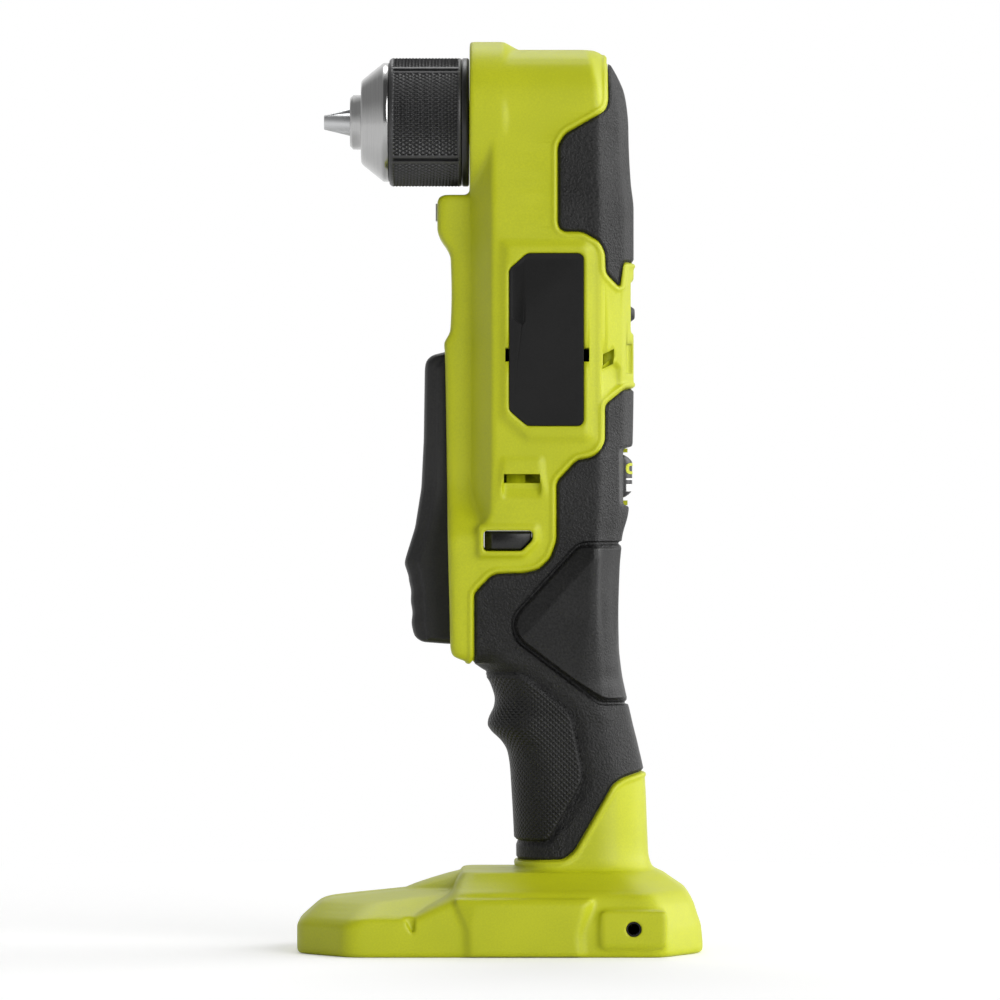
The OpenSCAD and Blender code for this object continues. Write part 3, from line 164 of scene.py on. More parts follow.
def spine_section(row, inset):
    """The lime strip that runs down the front, behind the trigger."""
    front, half = row
    corners = [(front, past_middle), (front, 1.2 - half), (front + 1.4, -half), (3, -half), (3, past_middle)]
    return soft_corners(drawn_in(corners, inset), 1.4)


def foot_section(row, inset, cheek=15):
    """The foot, or the brow that leads up from it to the handle, with a cut corner at each front cheek."""
    front, rear, half = row
    corners = [(front, past_middle), (front, (0.036 * cheek - 1) * half), (front + cheek, -half),
               (rear - 11, -half), (rear, -0.42 * half), (rear, past_middle)]
    return soft_corners(drawn_in(corners, inset), 4)


def deck_section(row, inset):
    """The raised deck on the foot, with a squarer front."""
    return foot_section(row, inset, 3)


def skin(bm, rings, band=False):
    """Skins closed rings of points one after another and closes both ends, or joins them in a band."""
    loops = []
    for ring in rings:
        verts = [bm.verts.new(point) for point in ring]
        loops.append([bm.edges.new((verts[i - 1], verts[i])) for i in range(len(verts))])
    for low, high in zip(loops, loops[1:]):
        bmesh.ops.bridge_loops(bm, edges=low + high)
    if band:
        bmesh.ops.bridge_loops(bm, edges=loops[0] + loops[-1])
    for end in () if band else (loops[0], loops[-1]):
        bmesh.ops.contextual_create(bm, geom=end)
    bmesh.ops.recalc_face_normals(bm, faces=bm.faces)


def stacked(bm, section, stations, step, inset=0):
    """Skins the sections of a table of stations, step millimetres apart or less."""
    z = [row[0] for row in stations]
    heights = np.unique(np.round(np.concatenate([z, np.arange(z[0], z[-1], step)]), 3))
    rows = eased(stations, heights)
    skin(bm, [[(x, y, h) for x, y in section(row, inset)] for h, row in zip(heights, rows)])


def side_block(bm, *layers):
    """Skins side view outlines that stand at the given depths on the left of the middle plane."""
    skin(bm, [[(x, -depth, z) for x, z in outline] for depth, outline in layers])


def box(bm, low, high):
    made = bmesh.ops.create_cube(bm, size=1)["verts"]
    bmesh.ops.scale(bm, vec=Vector(high) - Vector(low), verts=made)
    bmesh.ops.translate(bm, vec=(Vector(high) + Vector(low)) / 2, verts=made)


def rod(bm, start, end, radius):
    axis = Vector(end) - Vector(start)
    middle = Matrix.Translation((Vector(start) + Vector(end)) / 2)
    place = middle @ axis.to_track_quat("Z", "Y").to_matrix().to_4x4()
    bmesh.ops.create_cone(bm, cap_ends=True, segments=48, radius1=radius, radius2=radius, depth=axis.length,
                          matrix=place)


def turned(bm, profile, steps, axis_z=chuck_axis, flat=1):
    """Spins a closed profile of (radius, forward) points about an axis along X, flattened in Y."""
    others = set(bm.verts)
    verts = [bm.verts.new((-ahead, 0, axis_z + radius)) for radius, ahead in profile]
    edges = [bm.edges.new((verts[i - 1], verts[i])) for i in range(len(verts))]
    bmesh.ops.spin(bm, geom=verts + edges, cent=(0, 0, axis_z), axis=(1, 0, 0), angle=math.tau, steps=steps,
                   use_merge=True)
    bmesh.ops.scale(bm, vec=(1, flat, 1), verts=[vert for vert in bm.verts if vert not in others])
    bmesh.ops.remove_doubles(bm, verts=bm.verts, dist=1e-4)
    bmesh.ops.recalc_face_normals(bm, faces=bm.faces)


def blank(bm, name):
    """Turns a finished bmesh into an object in the scene."""
    mesh = bpy.data.meshes.new(name)
    bm.to_mesh(mesh)
    bm.free()
    obj = bpy.data.objects.new(name, mesh)
    bpy.context.scene.collection.objects.link(obj)
    return obj


def applied(obj):
    """Keeps the shape that the modifiers of obj give."""
    shaped = bpy.data.meshes.new_from_object(obj.evaluated_get(bpy.context.evaluated_depsgraph_get()))
    obj.modifiers.clear()
    obj.data = shaped
    return obj


def blended(obj, voxel, rounds):
    """One closed skin over overlapping shapes, its edges and inner corners softened as a mould's are."""
    remesh = obj.modifiers.new("skin", "REMESH")
    remesh.mode, remesh.voxel_size = "VOXEL", voxel
    if rounds:
        smooth = obj.modifiers.new("soften", "SMOOTH")
        smooth.factor, smooth.iterations = 0.5, rounds
    return applied(obj)


def carved(obj, tool, way="DIFFERENCE", keep=False):
    """Cuts, joins or meets obj with a tool, both closed skins, and drops the tool unless it is kept."""
    cut = obj.modifiers.new("cut", "BOOLEAN")
    cut.operation, cut.object, cut.solver = way, tool, "MANIFOLD"
    applied(obj)
    if not keep:
        bpy.data.objects.remove(tool)
    return obj


# Side views of the selector's slide, the nameplate's raised frame and the plate itself.
selector_outline = [(-4.5, 116.15), (6.1, 116.15), (9.1, 119.15), (9.1, 121.45), (-4.5, 121.45)]
frame_outline = [(0, 205.4), (25, 205.4), (27.2, 203), (27.2, 148), (25, 146.4), (7.6, 146.4), (-0.6, 153.6),
                 (-0.6, 198.4)]
plate_outline = [(7.8, 201.2), (22.9, 201.2), (24, 200.1), (24, 152.8), (22.9, 151.7), (7.8, 151.7),
                 (2.6, 156.2), (2.6, 196.6)]

# The foot's side panel and boss, the head's round collar, the frame, the selector's rim and the brow over the
# lower vent stand on the stacked forms.
bm = bmesh.new()
stacked(bm, body_section, body_stations, 1.6)
stacked(bm, spine_section, spine_stations, 1.6)
stacked(bm, foot_section, foot_stations, 1.5)
stacked(bm, deck_section, deck_stations, 1.5)
stacked(bm, foot_section, brow_stations, 1.5)
panel = [(-10.6, 0.2), (-10.6, 8), (-13, 16.8), (26.6, 16.8), (24.2, 8), (24.6, 0.2)]
panel_face = [(-8.2, 0.6), (-8.6, 8), (-6.9, 15), (24, 15), (21.8, 6), (22.4, 0.6)]
side_block(bm, (27, panel), (34.9, panel), (36.5, panel_face))
boss = soft_corners([(28.4, 2.8), (47.8, 2.8), (47.8, 13.5), (28.4, 13.5)], 2)
side_block(bm, (31, boss), (36, boss), (36.5, drawn_in(boss, 0.7)))
collar_flat = 0.968
turned(bm, [(2, -7.3), (20.1, -7.3), (20.1, -6.9), (23.3, -1.1), (23.3, 8.8), (2, 8.8)], 96, flat=collar_flat)
side_block(bm, (20, frame_outline), (23.9, frame_outline), (25.5, drawn_in(frame_outline, 2.6)))
rim = [soft_corners(drawn_in(selector_outline, -wide), 1.2) for wide in (2.1, 1.3)]
side_block(bm, (19, rim[0]), (23.6, rim[0]), (24.5, rim[1]))
vent_brow = [(-1, 129), (14, 129), (12.8, 143.4), (0, 143.4)]
brow_top = [(0.4, 136), (12.4, 136), (11.4, 141.6), (1.2, 141.6)]
side_block(bm, (20, vent_brow), (23.7, vent_brow), (24.8, brow_top))
form = blended(blank(bm, "form"), 0.6, 2)

# Seats and openings
# What the mould's cores leave free in both halves: the nameplate's seat and the ramp of the lower vent, the
# places of the trigger, lens, button, stud and selector, the bores, and the battery's tray and socket.
seat_gap, slide_gap = 0.12, 0.25
accessory_r, spindle_bore_r = 2.2, 8.6
bm = bmesh.new()
plate_seat = soft_corners(drawn_in(plate_outline, -seat_gap), 1)
side_block(bm, (24.4, plate_seat), (past_side, plate_seat))
vent_ramp = [(0, 122), (12.4, 122), (12.4, 136), (0, 136)]
side_block(bm, (22.4, [(1, 134), (11.4, 134), (11.4, 136), (1, 136)]), (28, vent_ramp))

# The trigger's slot and the work light's window.
box(bm, (-40, -9.3, 87.8), (-8.5, 30, 174.6))
box(bm, (-30, -5.1, 211.1), (-14.5, 30, 216.3))

# A scoop round the mode button, its well, and the flat that the rest stud stands on.
key_scoop = [(33.9, -20.5), (35.6, -7.5), (35.6, 30), (60, 30), (60, -20.5)]
scoop_rises = ((128.4, 2.4), (129.2, 0), (145.3, 0), (146, 2.4))
skin(bm, [[(x + rise, y, z) for x, y in key_scoop] for z, rise in scoop_rises])
box(bm, (26.6, -5.5, 130.7), (60, 30, 144.1))
box(bm, (37.7, -14, 178.4), (60, 30, 194))

# The foot's notch, the selector's slot, the accessory hole and the spindle's bore.
notch = [(-27.7, 11.4), (-24.2, 11.4), (-24.6, 6)]
side_block(bm, (33.4, notch), (past_side, notch))
selector_slot = drawn_in(selector_outline, -slide_gap)
side_block(bm, (0, selector_slot), (past_side, selector_slot))
rod(bm, (38.1, -30, 8.2), (38.1, -past_side, 8.2), accessory_r)
rod(bm, (-20, 0, chuck_axis), (-4, 0, chuck_axis), spindle_bore_r)

# The battery's tray and the socket for its stem.
tray = [(-54.5, 20), (-54.5, -14.3), (-39.5, -31), (43.5, -31), (54.5, -13), (54.5, 20)]
skin(bm, [[(x, y, z) for x, y in tray] for z in (-5, 11)])
stem = [(8, 20), (8, -8), (13, -13.2), (32, -13.2), (36.5, -8), (36.5, 20)]
skin(bm, [[(x, y, z) for x, y in stem] for z in (-5, 61.4)])
openings = blended(blank(bm, "openings"), 0.3, 0)
form = blended(carved(form, openings), 0.5, 3)

# Parting lines
# Where the soft overmould meets the lime shell, and the relief that the mould gives both: a groove with a
# raised lime lip on each parting line, the palm pad, the finger pad's edge and a scoop by the rear vent.
seam_sink, line_sink, lip_rise = 0.3, 0.75, 0.42
palm_rise, palm_ditch = 2.3, 0.8
finger_rise, finger_ditch = 0.5, 0.9
scoop_sink = 1.1
pad_corner = 1.4


def inside(outline, x, z):
    """How far each point lies within a side view outline, negative outside it."""
    ends = np.array(outline, float)
    near = np.full(len(x), 1e9)
    odd = np.zeros(len(x), bool)
    for (ax, az), (bx, bz) in zip(ends, np.roll(ends, -1, axis=0)):
        dx, dz = bx - ax, bz - az
        t = np.clip(((x - ax) * dx + (z - az) * dz) / (dx * dx + dz * dz), 0, 1)
        near = np.minimum(near, np.hypot(x - ax - t * dx, z - az - t * dz))
        if dz:
            odd ^= ((az > z) != (bz > z)) & (x < ax + dx * (z - az) / dz)
    return np.where(odd, near, -near)


def step(value, width):
    """Rises softly from 0 to 1 as value goes from 0 to width."""
    t = np.clip(value / width, 0, 1)
    return t * t * (3 - 2 * t)


def points(mesh):
    """The places of a mesh's vertices, one row each."""
    flat = np.empty(3 * len(mesh.vertices))
    mesh.vertices.foreach_get("co", flat)
    return flat.reshape(-1, 3)


bumper_outline = [(31.9, 261), (31.2, 258), (31.2, 244.8), (30.2, 242.2), (18.6, 235.6), (16.6, 232.2),
                  (16.6, 209), (18.2, 207.4), (23.6, 207.4), (28.6, 204.6), (30.2, 201.4), (30.4, 195.6),
                  (34.4, 191.6), (35.4, 198.4), (36.2, 199), (46, 199), (46, 261)]
grip_outline = [(46, 162.6), (36, 162.6), (30.6, 158.2), (30.2, 157), (30.2, 147.2), (28.6, 144.4),
                (25.8, 142.6), (22, 142), (16.8, 136.4), (16.2, 135), (16.2, 118.8), (14.4, 113.8),
                (11, 110.6), (7, 109.6), (-0.8, 109.4), (-2.8, 108.6), (-7, 104.2), (-7.4, 103), (-7.4, 83.9),
                (-12, 80), (-12, 26.8), (8, 26.8), (18.4, 27.2), (21.4, 29.6), (32.4, 48.6), (35.2, 50.4),
                (41, 52.2), (52, 52.2), (52, 120)]
palm_outline = [(23.6, 117.2), (46, 117.2), (46, 72.8), (29, 72.8), (5.6, 90.6), (4.4, 94.6), (5.4, 97.6),
                (21.8, 115.8)]
finger_outline = [(-12, 80), (6.7, 80), (19.4, 69.8), (20.6, 66.8), (23.4, 52.2), (23, 48.8), (14.4, 33.9),
                  (13, 32.6), (-12, 32.6)]
pad_edges = [soft_corners(outline, pad_corner) for outline in (bumper_outline, grip_outline)]
palm_edge, finger_edge = soft_corners(palm_outline, 2), soft_corners(finger_outline, 3)

# Faces near a line are split once, so that the relief has enough of them.
fine_within = 1.7
x, y, z = points(form.data).T
all_edges = (*pad_edges, palm_edge, finger_edge)
to_seam = np.min([np.abs(inside(edge, x, z)) for edge in all_edges], axis=0)
bm = bmesh.new()
bm.from_mesh(form.data)
close = [edge for edge in bm.edges
         if to_seam[edge.verts[0].index] < fine_within and edge.verts[0].co.y < 1]
bmesh.ops.subdivide_edges(bm, edges=close, cuts=1, use_grid_fill=True)
bm.to_mesh(form.data)
bm.free()

# Each vertex moves along its normal: the middle seam and grooves sink, lips and pads rise.
place = points(form.data)
x, y, z = place.T
normals = np.empty(3 * len(x))
form.data.vertex_normals.foreach_get("vector", normals)
normals = normals.reshape(-1, 3)
sideways = normals[:, 1] ** 2
rise = -seam_sink * (1 - step(np.abs(y), 0.7))
black = np.zeros(len(x))
for edge in pad_edges:
    reach = inside(edge, x, z)
    rise -= line_sink * (1 - step(np.abs(reach), np.where(reach > 0, 0.9, 0.6)))
    rise += lip_rise * step(reach + 2, 0.6) * step(-reach, 1)
    black = np.maximum(black, step(reach + 0.1, 0.2))
palm = inside(palm_edge, x, z)
slope = ((x - 5.4) * 18.2 - (z - 97.6) * 16.4) / math.hypot(18.2, 16.4)
palm_lift = np.minimum(step(palm, 0.7), 0.1 + 0.9 * np.clip(slope / 5, 0, 1))
rise += black * (0.2 + palm_rise * sideways) * palm_lift
rise -= black * palm_ditch * step(palm + 1.6, 0.6) * step(-palm, 0.6)
finger = inside(finger_edge, x, z)
finger_fall = np.where(z > 36, 3.6, 2)
rise += black * finger_rise * step(finger, 0.6)
rise -= black * finger_ditch * step(-finger, 0.5) * (1 - np.clip(-finger / finger_fall, 0, 1))
vent_scoop = [(28.8, 168.6), (33.4, 170.4), (35, 168.6), (35, 163), (28.8, 159.4)]
scooped = inside(vent_scoop, x, z)
rise -= (1 - black) * scoop_sink * step(scooped, 1.2) * step(z - 158, 10)
place += rise[:, None] * normals
form.data.vertices.foreach_set("co", place.ravel())
form.data.update()

# Lime shells
# Two halves of hard lime ABS, injection moulded with ribs, posts and vents, and screwed together from the
# right. Each is the blank without its overmoulds, hollowed to its wall.
overmould_depth, wall, rib_inset = 1.4, 3.2, 2.4
parting_gap = 0.12
shell_triangles, grip_triangles = 165000, 150000


def core(inset):
    """The body drawn in by inset, its roof lowered alike."""
    bm = bmesh.new()
    roof = body_stations[-1][0] - chuck_axis
    low = [(row[0] - inset * max(0, row[0] - chuck_axis) / roof, *row[1:]) for row in body_stations]
    stacked(bm, body_section, low, 4, inset)
    return blank(bm, "core")


def spine_block(inset):
    """The front strip drawn in by inset."""
    bm = bmesh.new()
    stacked(bm, spine_section, spine_stations, 4, inset)
    return blank(bm, "spine")


def region(outline, drawn):
    """The space of one overmould, from the skin down to its depth in the wall."""
    bm = bmesh.new()
    edge = soft_corners(drawn_in(outline, drawn), pad_corner)
    side_block(bm, (-past_middle - 1, edge), (past_side, edge))
    return carved(carved(blank(bm, "space"), core(overmould_depth)), spine_block(overmould_depth))


def grip_region(drawn):
    """The grip's space, which also goes all round the mode button."""
    bm = bmesh.new()
    box(bm, (33, -21.5, 126.4), (42, past_middle + 1, 148.4))
    return carved(region(grip_outline, drawn), blank(bm, "key_seat"), "UNION")


def copied(obj, name):
    """A second object with its own copy of the mesh."""
    twin = bpy.data.objects.new(name, obj.data.copy())
    bpy.context.scene.collection.objects.link(twin)
    return twin


def trimmed(obj):
    """Cuts a half off at the middle plane."""
    bm = bmesh.new()
    box(bm, (-100, 0, -20), (100, past_side, 300))
    return carved(obj, blank(bm, "other_side"))


def on_side(obj, side):
    """Leaves a left shape as it is (side 1), or turns it into its mirror image on the right (side -1)."""
    if side < 0:
        obj.data.transform(Matrix.Scale(-1, 4, (0, 1, 0)))
        obj.data.flip_normals()
    return obj


def thinned(obj, triangles):
    """Leaves out faces where the surface is flat, down to a count of triangles."""
    now = sum(len(face.vertices) - 2 for face in obj.data.polygons)
    if now > triangles:
        thin = obj.modifiers.new("thin", "DECIMATE")
        thin.ratio = triangles / now
        applied(obj)
    return obj


shell_left = copied(form, "shell_left")
carved(shell_left, region(bumper_outline, -parting_gap))
carved(shell_left, grip_region(-parting_gap))
hollow = core(wall)
bm = bmesh.new()
box(bm, (-100, -past_side, -20), (100, past_side, 64))
carved(hollow, blank(bm, "below"))
carved(shell_left, hollow)
carved(shell_left, spine_block(wall))

# The vents: two slots in the side, one of them behind the nameplate, a diamond and a pocket at the rear. Lime
# ribs stand behind the lower slot and the diamond.
bm = bmesh.new()
box(bm, (1.1, -past_side, 135.3), (11.5, -12, 137.9))
box(bm, (1.5, -past_side, 170.1), (25.6, -12, 174.1))
diamond = [(29.5, 172.3), (32.8, 173.9), (32.5, 169.6), (29.4, 168.1)]
side_block(bm, (8, diamond), (past_side, diamond))
pocket = [(35.5, -15.2), (37.5, -10.5), (41, -12), (39, -16.6)]
skin(bm, [[(x, y, z) for x, y in pocket] for z in (167, 175.4)])
carved(shell_left, blank(bm, "vents"))
for low, high in (((1.9, -20.6, 134.4), (7.2, -16.2, 138.8)), ((0.6, -17.8, 134.4), (12.2, -16.2, 138.8)),
                  ((28.9, -17.4, 166.8), (34, -15.4, 175))):
    bm = bmesh.new()
    box(bm, low, high)
    carved(shell_left, blank(bm, "rib"), "UNION")
trimmed(shell_left)
shell_right = on_side(copied(shell_left, "shell_right"), -1)


def cad_copy(name):
    """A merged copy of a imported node, in millimetres."""
    bm = bmesh.new()
    bm.from_mesh(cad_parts[name].data)
    bmesh.ops.remove_doubles(bm, verts=bm.verts, dist=1e-6)
    bmesh.ops.scale(bm, vec=(1000, 1000, 1000), verts=bm.verts)
    return bm


def ribbed(shell, name, side):
    """Adds the ribs, posts and walls inside a packed half to its shell, and the stops of the mode button."""
    ribs = carved(blank(cad_copy(name), "ribs"), on_side(core(rib_inset), side), "INTERSECT")
    bm = bmesh.new()
    box(bm, (33, -24, 126), (50, 24, 149))
    carved(shell, carved(ribs, blank(bm, "key_seat")), "UNION")
    bm = bmesh.new()
    for low, high in ((129, 130.4), (144.3, 145.4)):
        box(bm, (33.2, -4.6, low), (36.9, -0.05, high))
    return carved(shell, on_side(blank(bm, "stops"), side), "UNION")


ribbed(shell_left, "housing_left", 1)
ribbed(shell_right, "housing_right", -1)

# The screws go in from the right: a wide well down to each head's seat, and a narrow hole past it.
screw_places = [
    # x, z, seat
    (28, 251.8, 15), (-10.6, 205.5, 9), (-10.4, 180.6, 9), (30.8, 184.6, 15), (-3.6, 84, 9.6), (2.6, 70, 9.6),
    (-8, 16.6, 20), (46, 16.4, 20),
]
head_r, shank_r = 3.15, 1.7
bm = bmesh.new()
for x, z, seat in screw_places:
    rod(bm, (x, seat, z), (x, past_side, z), head_r)
    rod(bm, (x, -0.5, z), (x, seat + 0.1, z), shank_r)
screw_holes = blank(bm, "screw_holes")
carved(shell_right, screw_holes, keep=True)


def linear(code):
    """An sRGB hex colour as linear red, green, blue and alpha."""
    parts = [int(code[i:i + 2], 16) / 255 for i in (1, 3, 5)]
    return [c / 12.92 if c <= 0.04045 else ((c + 0.055) / 1.055) ** 2.4 for c in parts] + [1]


def node(mat, kind, inputs, **settings):
    """Adds a node to a material, with its settings, plain inputs and links."""
    made = mat.node_tree.nodes.new(kind)
    for name, value in settings.items():
        setattr(made, name, value)
    for name, value in inputs.items():
        if isinstance(value, bpy.types.NodeSocket):
            mat.node_tree.links.new(value, made.inputs[name])
        else:
            made.inputs[name].default_value = value
    return made


def moulded(name, colours, roughness, grain, relief, gleam=0.5):
    """Moulded plastic, or a thin coat that looks alike: grain and relief in millimetres, a little life in
    colour and gloss. The grain is drawn coarser than a real one, so that it shows in the picture."""
    mat = bpy.data.materials.new(name)
    mat.use_nodes = True
    surface = mat.node_tree.nodes["Principled BSDF"]
    link = mat.node_tree.links.new
    drift = 24
    place = node(mat, "ShaderNodeTexCoord", {}).outputs["Object"]
    fine = node(mat, "ShaderNodeTexNoise", {"Vector": place, "Scale": 1000 / grain, "Detail": 3})
    broad = node(mat, "ShaderNodeTexNoise", {"Vector": place, "Scale": 1000 / drift, "Detail": 2})
    both = node(mat, "ShaderNodeMath", {0: fine.outputs[0], 1: broad.outputs[0]}, operation="ADD")
    share = node(mat, "ShaderNodeMapRange", {0: both.outputs[0], 1: 0.84, 2: 1.16})
    dark, pale = linear(colours[0]), linear(colours[1])
    tint = node(mat, "ShaderNodeMix", {"Factor": share.outputs[0], "A": dark, "B": pale}, data_type="RGBA")
    gloss = node(mat, "ShaderNodeMapRange", {0: fine.outputs[0], 1: 0.3, 2: 0.7, 3: roughness - 0.04,
                                             4: roughness + 0.05})
    bump = node(mat, "ShaderNodeBump", {"Height": fine.outputs[0], "Strength": 1, "Distance": relief / 1000})
    link(tint.outputs["Result"], surface.inputs["Base Color"])
    link(gloss.outputs[0], surface.inputs["Roughness"])
    link(bump.outputs[0], surface.inputs["Normal"])
    surface.inputs["IOR"].default_value = 1.5
    surface.inputs["Specular IOR Level"].default_value = gleam
    return mat


def piece(obj, name, material, body, slot, *nodes):
    """Names a finished shape, brings it to metres, gives it its material and hangs it on the frame."""
    obj.name = obj.data.name = name
    obj.data.transform(Matrix.Scale(0.001, 4))
    obj.data.materials.clear()
    obj.data.materials.append(material)
    obj.data.shade_smooth()
    obj.data.set_sharp_from_angle(angle=math.radians(40))
    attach(obj, body)
    if nodes:
        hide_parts(*nodes)
    return obj


# Lime ABS from a finely textured mould: satin, bright and even, with a soft sheen along its edges.
lime_abs = moulded("moulded_lime_abs", ("#BCC310", "#C5CB12"), 0.46, 0.5, 0.02)
for shell in (shell_left, shell_right):
    thinned(shell, shell_triangles)
piece(shell_left, "housing_left_shell", lime_abs, "housing", "lime_plastic", "housing_left")
piece(shell_right, "housing_right_shell", lime_abs, "housing", "lime_plastic", "housing_right")

# Soft overmoulds
# Black TPE, moulded over each lime half in a second shot: the bumper behind the head, and the grip with its
# smooth palm pad and its woven finger pad.
bumper_left = trimmed(carved(copied(form, "bumper_left"), region(bumper_outline, parting_gap), "INTERSECT"))
grip_left = trimmed(carved(copied(form, "grip_left"), grip_region(parting_gap), "INTERSECT"))
bpy.data.objects.remove(form)
thinned(grip_left, grip_triangles)
bumper_right = carved(on_side(copied(bumper_left, "bumper_right"), -1), screw_holes, keep=True)
grip_right = carved(on_side(copied(grip_left, "grip_right"), -1), screw_holes)
for grip in (grip_left, grip_right):
    x, y, z = points(grip.data).T
    for name, edge, most in (("weave", finger_edge, 1), ("sleek", palm_edge, 0.72)):
        share = grip.data.attributes.new(name, "FLOAT", "POINT")
        share.data.foreach_set("value", most * step(inside(edge, x, z), 0.8))

# Black TPE from a pebbled mould: dry and dark, with a fine broken sparkle where light grazes it.
tpe_look = (("#0F0F0F", "#222222"), 0.44, 0.6, 0.5, 0.34)
soft_tpe = moulded("moulded_black_tpe", *tpe_look)

# The grip's TPE has the same pebbles, nearly smooth on the palm pad. On the finger pad strands cross in a
# weave that wraps round the handle, drawn 1.5 mm apart, coarse enough to show.
grip_tpe = moulded("woven_black_tpe", *tpe_look)
weave_pitch, weave_height = 0.0015, 0.26
handle_x, handle_r = 0.018, 0.017
bump = grip_tpe.node_tree.nodes["Bump"]
pebbles = bump.inputs["Height"].links[0].from_socket
here = node(grip_tpe, "ShaderNodeTexCoord", {}).outputs["Object"]
spot = node(grip_tpe, "ShaderNodeSeparateXYZ", {0: here})
fore = node(grip_tpe, "ShaderNodeMath", {0: spot.outputs["X"], 1: handle_x}, operation="SUBTRACT")
turn = node(grip_tpe, "ShaderNodeMath", {0: spot.outputs["Y"], 1: fore.outputs[0]}, operation="ARCTAN2")
strands = []
for lean in (1, -1):
    tall = node(grip_tpe, "ShaderNodeMath", {0: spot.outputs["Z"], 1: lean * math.tau / weave_pitch},
                operation="MULTIPLY")
    slant = node(grip_tpe, "ShaderNodeMath", {0: turn.outputs[0], 1: math.tau * handle_r / weave_pitch,
                                              2: tall.outputs[0]}, operation="MULTIPLY_ADD")
    strands.append(node(grip_tpe, "ShaderNodeMath", {0: slant.outputs[0]}, operation="SINE").outputs[0])
upper = node(grip_tpe, "ShaderNodeMath", {0: strands[0], 1: strands[1]}, operation="MAXIMUM")
weave = node(grip_tpe, "ShaderNodeMath", {0: upper.outputs[0], 1: weave_height}, operation="MULTIPLY")
mask = node(grip_tpe, "ShaderNodeAttribute", {}, attribute_name="weave")
height = node(grip_tpe, "ShaderNodeMix", {"Factor": mask.outputs["Fac"], "A": pebbles, "B": weave.outputs[0]})
sleek = node(grip_tpe, "ShaderNodeAttribute", {}, attribute_name="sleek")
height = node(grip_tpe, "ShaderNodeMix", {"Factor": sleek.outputs["Fac"], "A": height.outputs[0], "B": 0.5})
grip_tpe.node_tree.links.new(height.outputs[0], bump.inputs["Height"])

piece(bumper_left, "rear_bumper_left_pad", soft_tpe, "housing", "soft_black", "rear_bumper_left")
piece(bumper_right, "rear_bumper_right_pad", soft_tpe, "housing", "soft_black", "rear_bumper_right")
piece(grip_left, "handle_grip_left_pad", grip_tpe, "housing", "soft_black", "handle_grip_left")
piece(grip_right, "handle_grip_right_pad", grip_tpe, "housing", "soft_black", "handle_grip_right")

# Nameplates
# A bare black film plate in a seat in each side's raised frame, glued down, with a shallow recessed
# panel along its front edge.
def plate(side):
    """One film plate with a rounded rim and its sunk panel."""
    bm = bmesh.new()
    edge = soft_corners(plate_outline, 0.9)
    side_block(bm, (24.45, edge), (25.14, edge), (25.4, soft_corners(drawn_in(plate_outline, 0.2), 0.9)))
    film = blank(bm, "film")
    bm = bmesh.new()
    panel = [(3.4, 182.6), (6.2, 180.4), (7.2, 181.6), (7.2, 199.6), (3.4, 196.4)]
    side_block(bm, (25.05, soft_corners(drawn_in(panel, 0.25), 0.5)),
               (25.6, soft_corners(drawn_in(panel, -0.3), 0.5)))
    return on_side(carved(film, blank(bm, "panel")), side)


# Printed polyester film: flat deep black with hardly any grain, a wide dull gleam.
plate_film = moulded("printed_black_film", ("#131313", "#191919"), 0.46, 0.3, 0.006, 0.25)
piece(plate(1), "nameplate_left_film", plate_film, "housing", "plate_black", "nameplate_left")
piece(plate(-1), "nameplate_right_film", plate_film, "housing", "plate_black", "nameplate_right")

# Rest stud
# A small rubber stud at the back of the barrel, moulded in one with its stem, which is pressed into a
# hole in the housing. Its head is rounded.
bm = bmesh.new()
turned(bm, [(0.02, -34.7), (1.15, -34.7), (1.15, -37.7), (2.1, -37.72), (2.2, -37.95), (1.6, -38.8),
            (1.2, -39.05), (0.02, -39.1)], 40, 184.4)
# Moulded rubber: dark grey and matt, a soft spot of light on the dome.
stud_rubber = moulded("moulded_stud_rubber", ("#202020", "#2C2C2C"), 0.5, 0.4, 0.02)
piece(blank(bm, "stud"), "rest_stud_rubber", stud_rubber, "housing", "soft_black", "rest_stud")

# Trigger
# A long paddle, moulded in glass filled nylon, that swings on a steel pin. It has a rounded front band, a
# crease along each side and finger scallops near its lower end.
trigger_outline = [(-15, 173.6), (-19.8, 172.4), (-21.4, 170.8), (-21.8, 168.6), (-22.1, 148),
                   (-22.8, 134), (-24.6, 122.6), (-27.4, 113.6), (-27.7, 112), (-26.5, 108.6),
                   (-26.4, 107.2), (-25.7, 104.2), (-25.9, 101.2), (-25.3, 98), (-25.7, 94.6), (-24.8, 91),
                   (-22.6, 89.4), (-14.6, 88.8), (-9.4, 89.2), (-9.4, 165), (-9.6, 171), (-10.6, 172.8)]
# How much of the rounding each edge of the outline takes: all of it along the front, none at the back.
band = [0.5] + [1] * 14 + [0.4, 0.35, 0.3, 0, 0, 0, 0.3]
bm = bmesh.new()
rounding = [(8.9, 4.1), (8.25, 3.5), (8.2, 3.2), (8, 1.9), (7.3, 0.95), (6.2, 0.4), (4.6, 0.08), (2, 0)]
layers = [(y, soft_corners(drawn_in(trigger_outline, [in_by * share for share in band]), 1.2, 4))
          for y, in_by in rounding]
side_block(bm, *layers, *[(-y, outline) for y, outline in reversed(layers)])
paddle = blended(blank(bm, "paddle"), 0.3, 1)
pin_x, pin_z, pin_hole_r = -12.5, 169.5, 1.6
bm = bmesh.new()
rod(bm, (pin_x, -12, pin_z), (pin_x, 12, pin_z), pin_hole_r)
carved(paddle, blank(bm, "pin_hole"))
# Glass filled nylon: dark grey and dry, the fibres give a faint mottle and a dull gleam.
trigger_nylon = moulded("glass_filled_nylon", ("#1E1E1E", "#282828"), 0.5, 0.6, 0.03, 0.4)
piece(paddle, "trigger_paddle", trigger_nylon, "trigger", "control_black", "trigger")

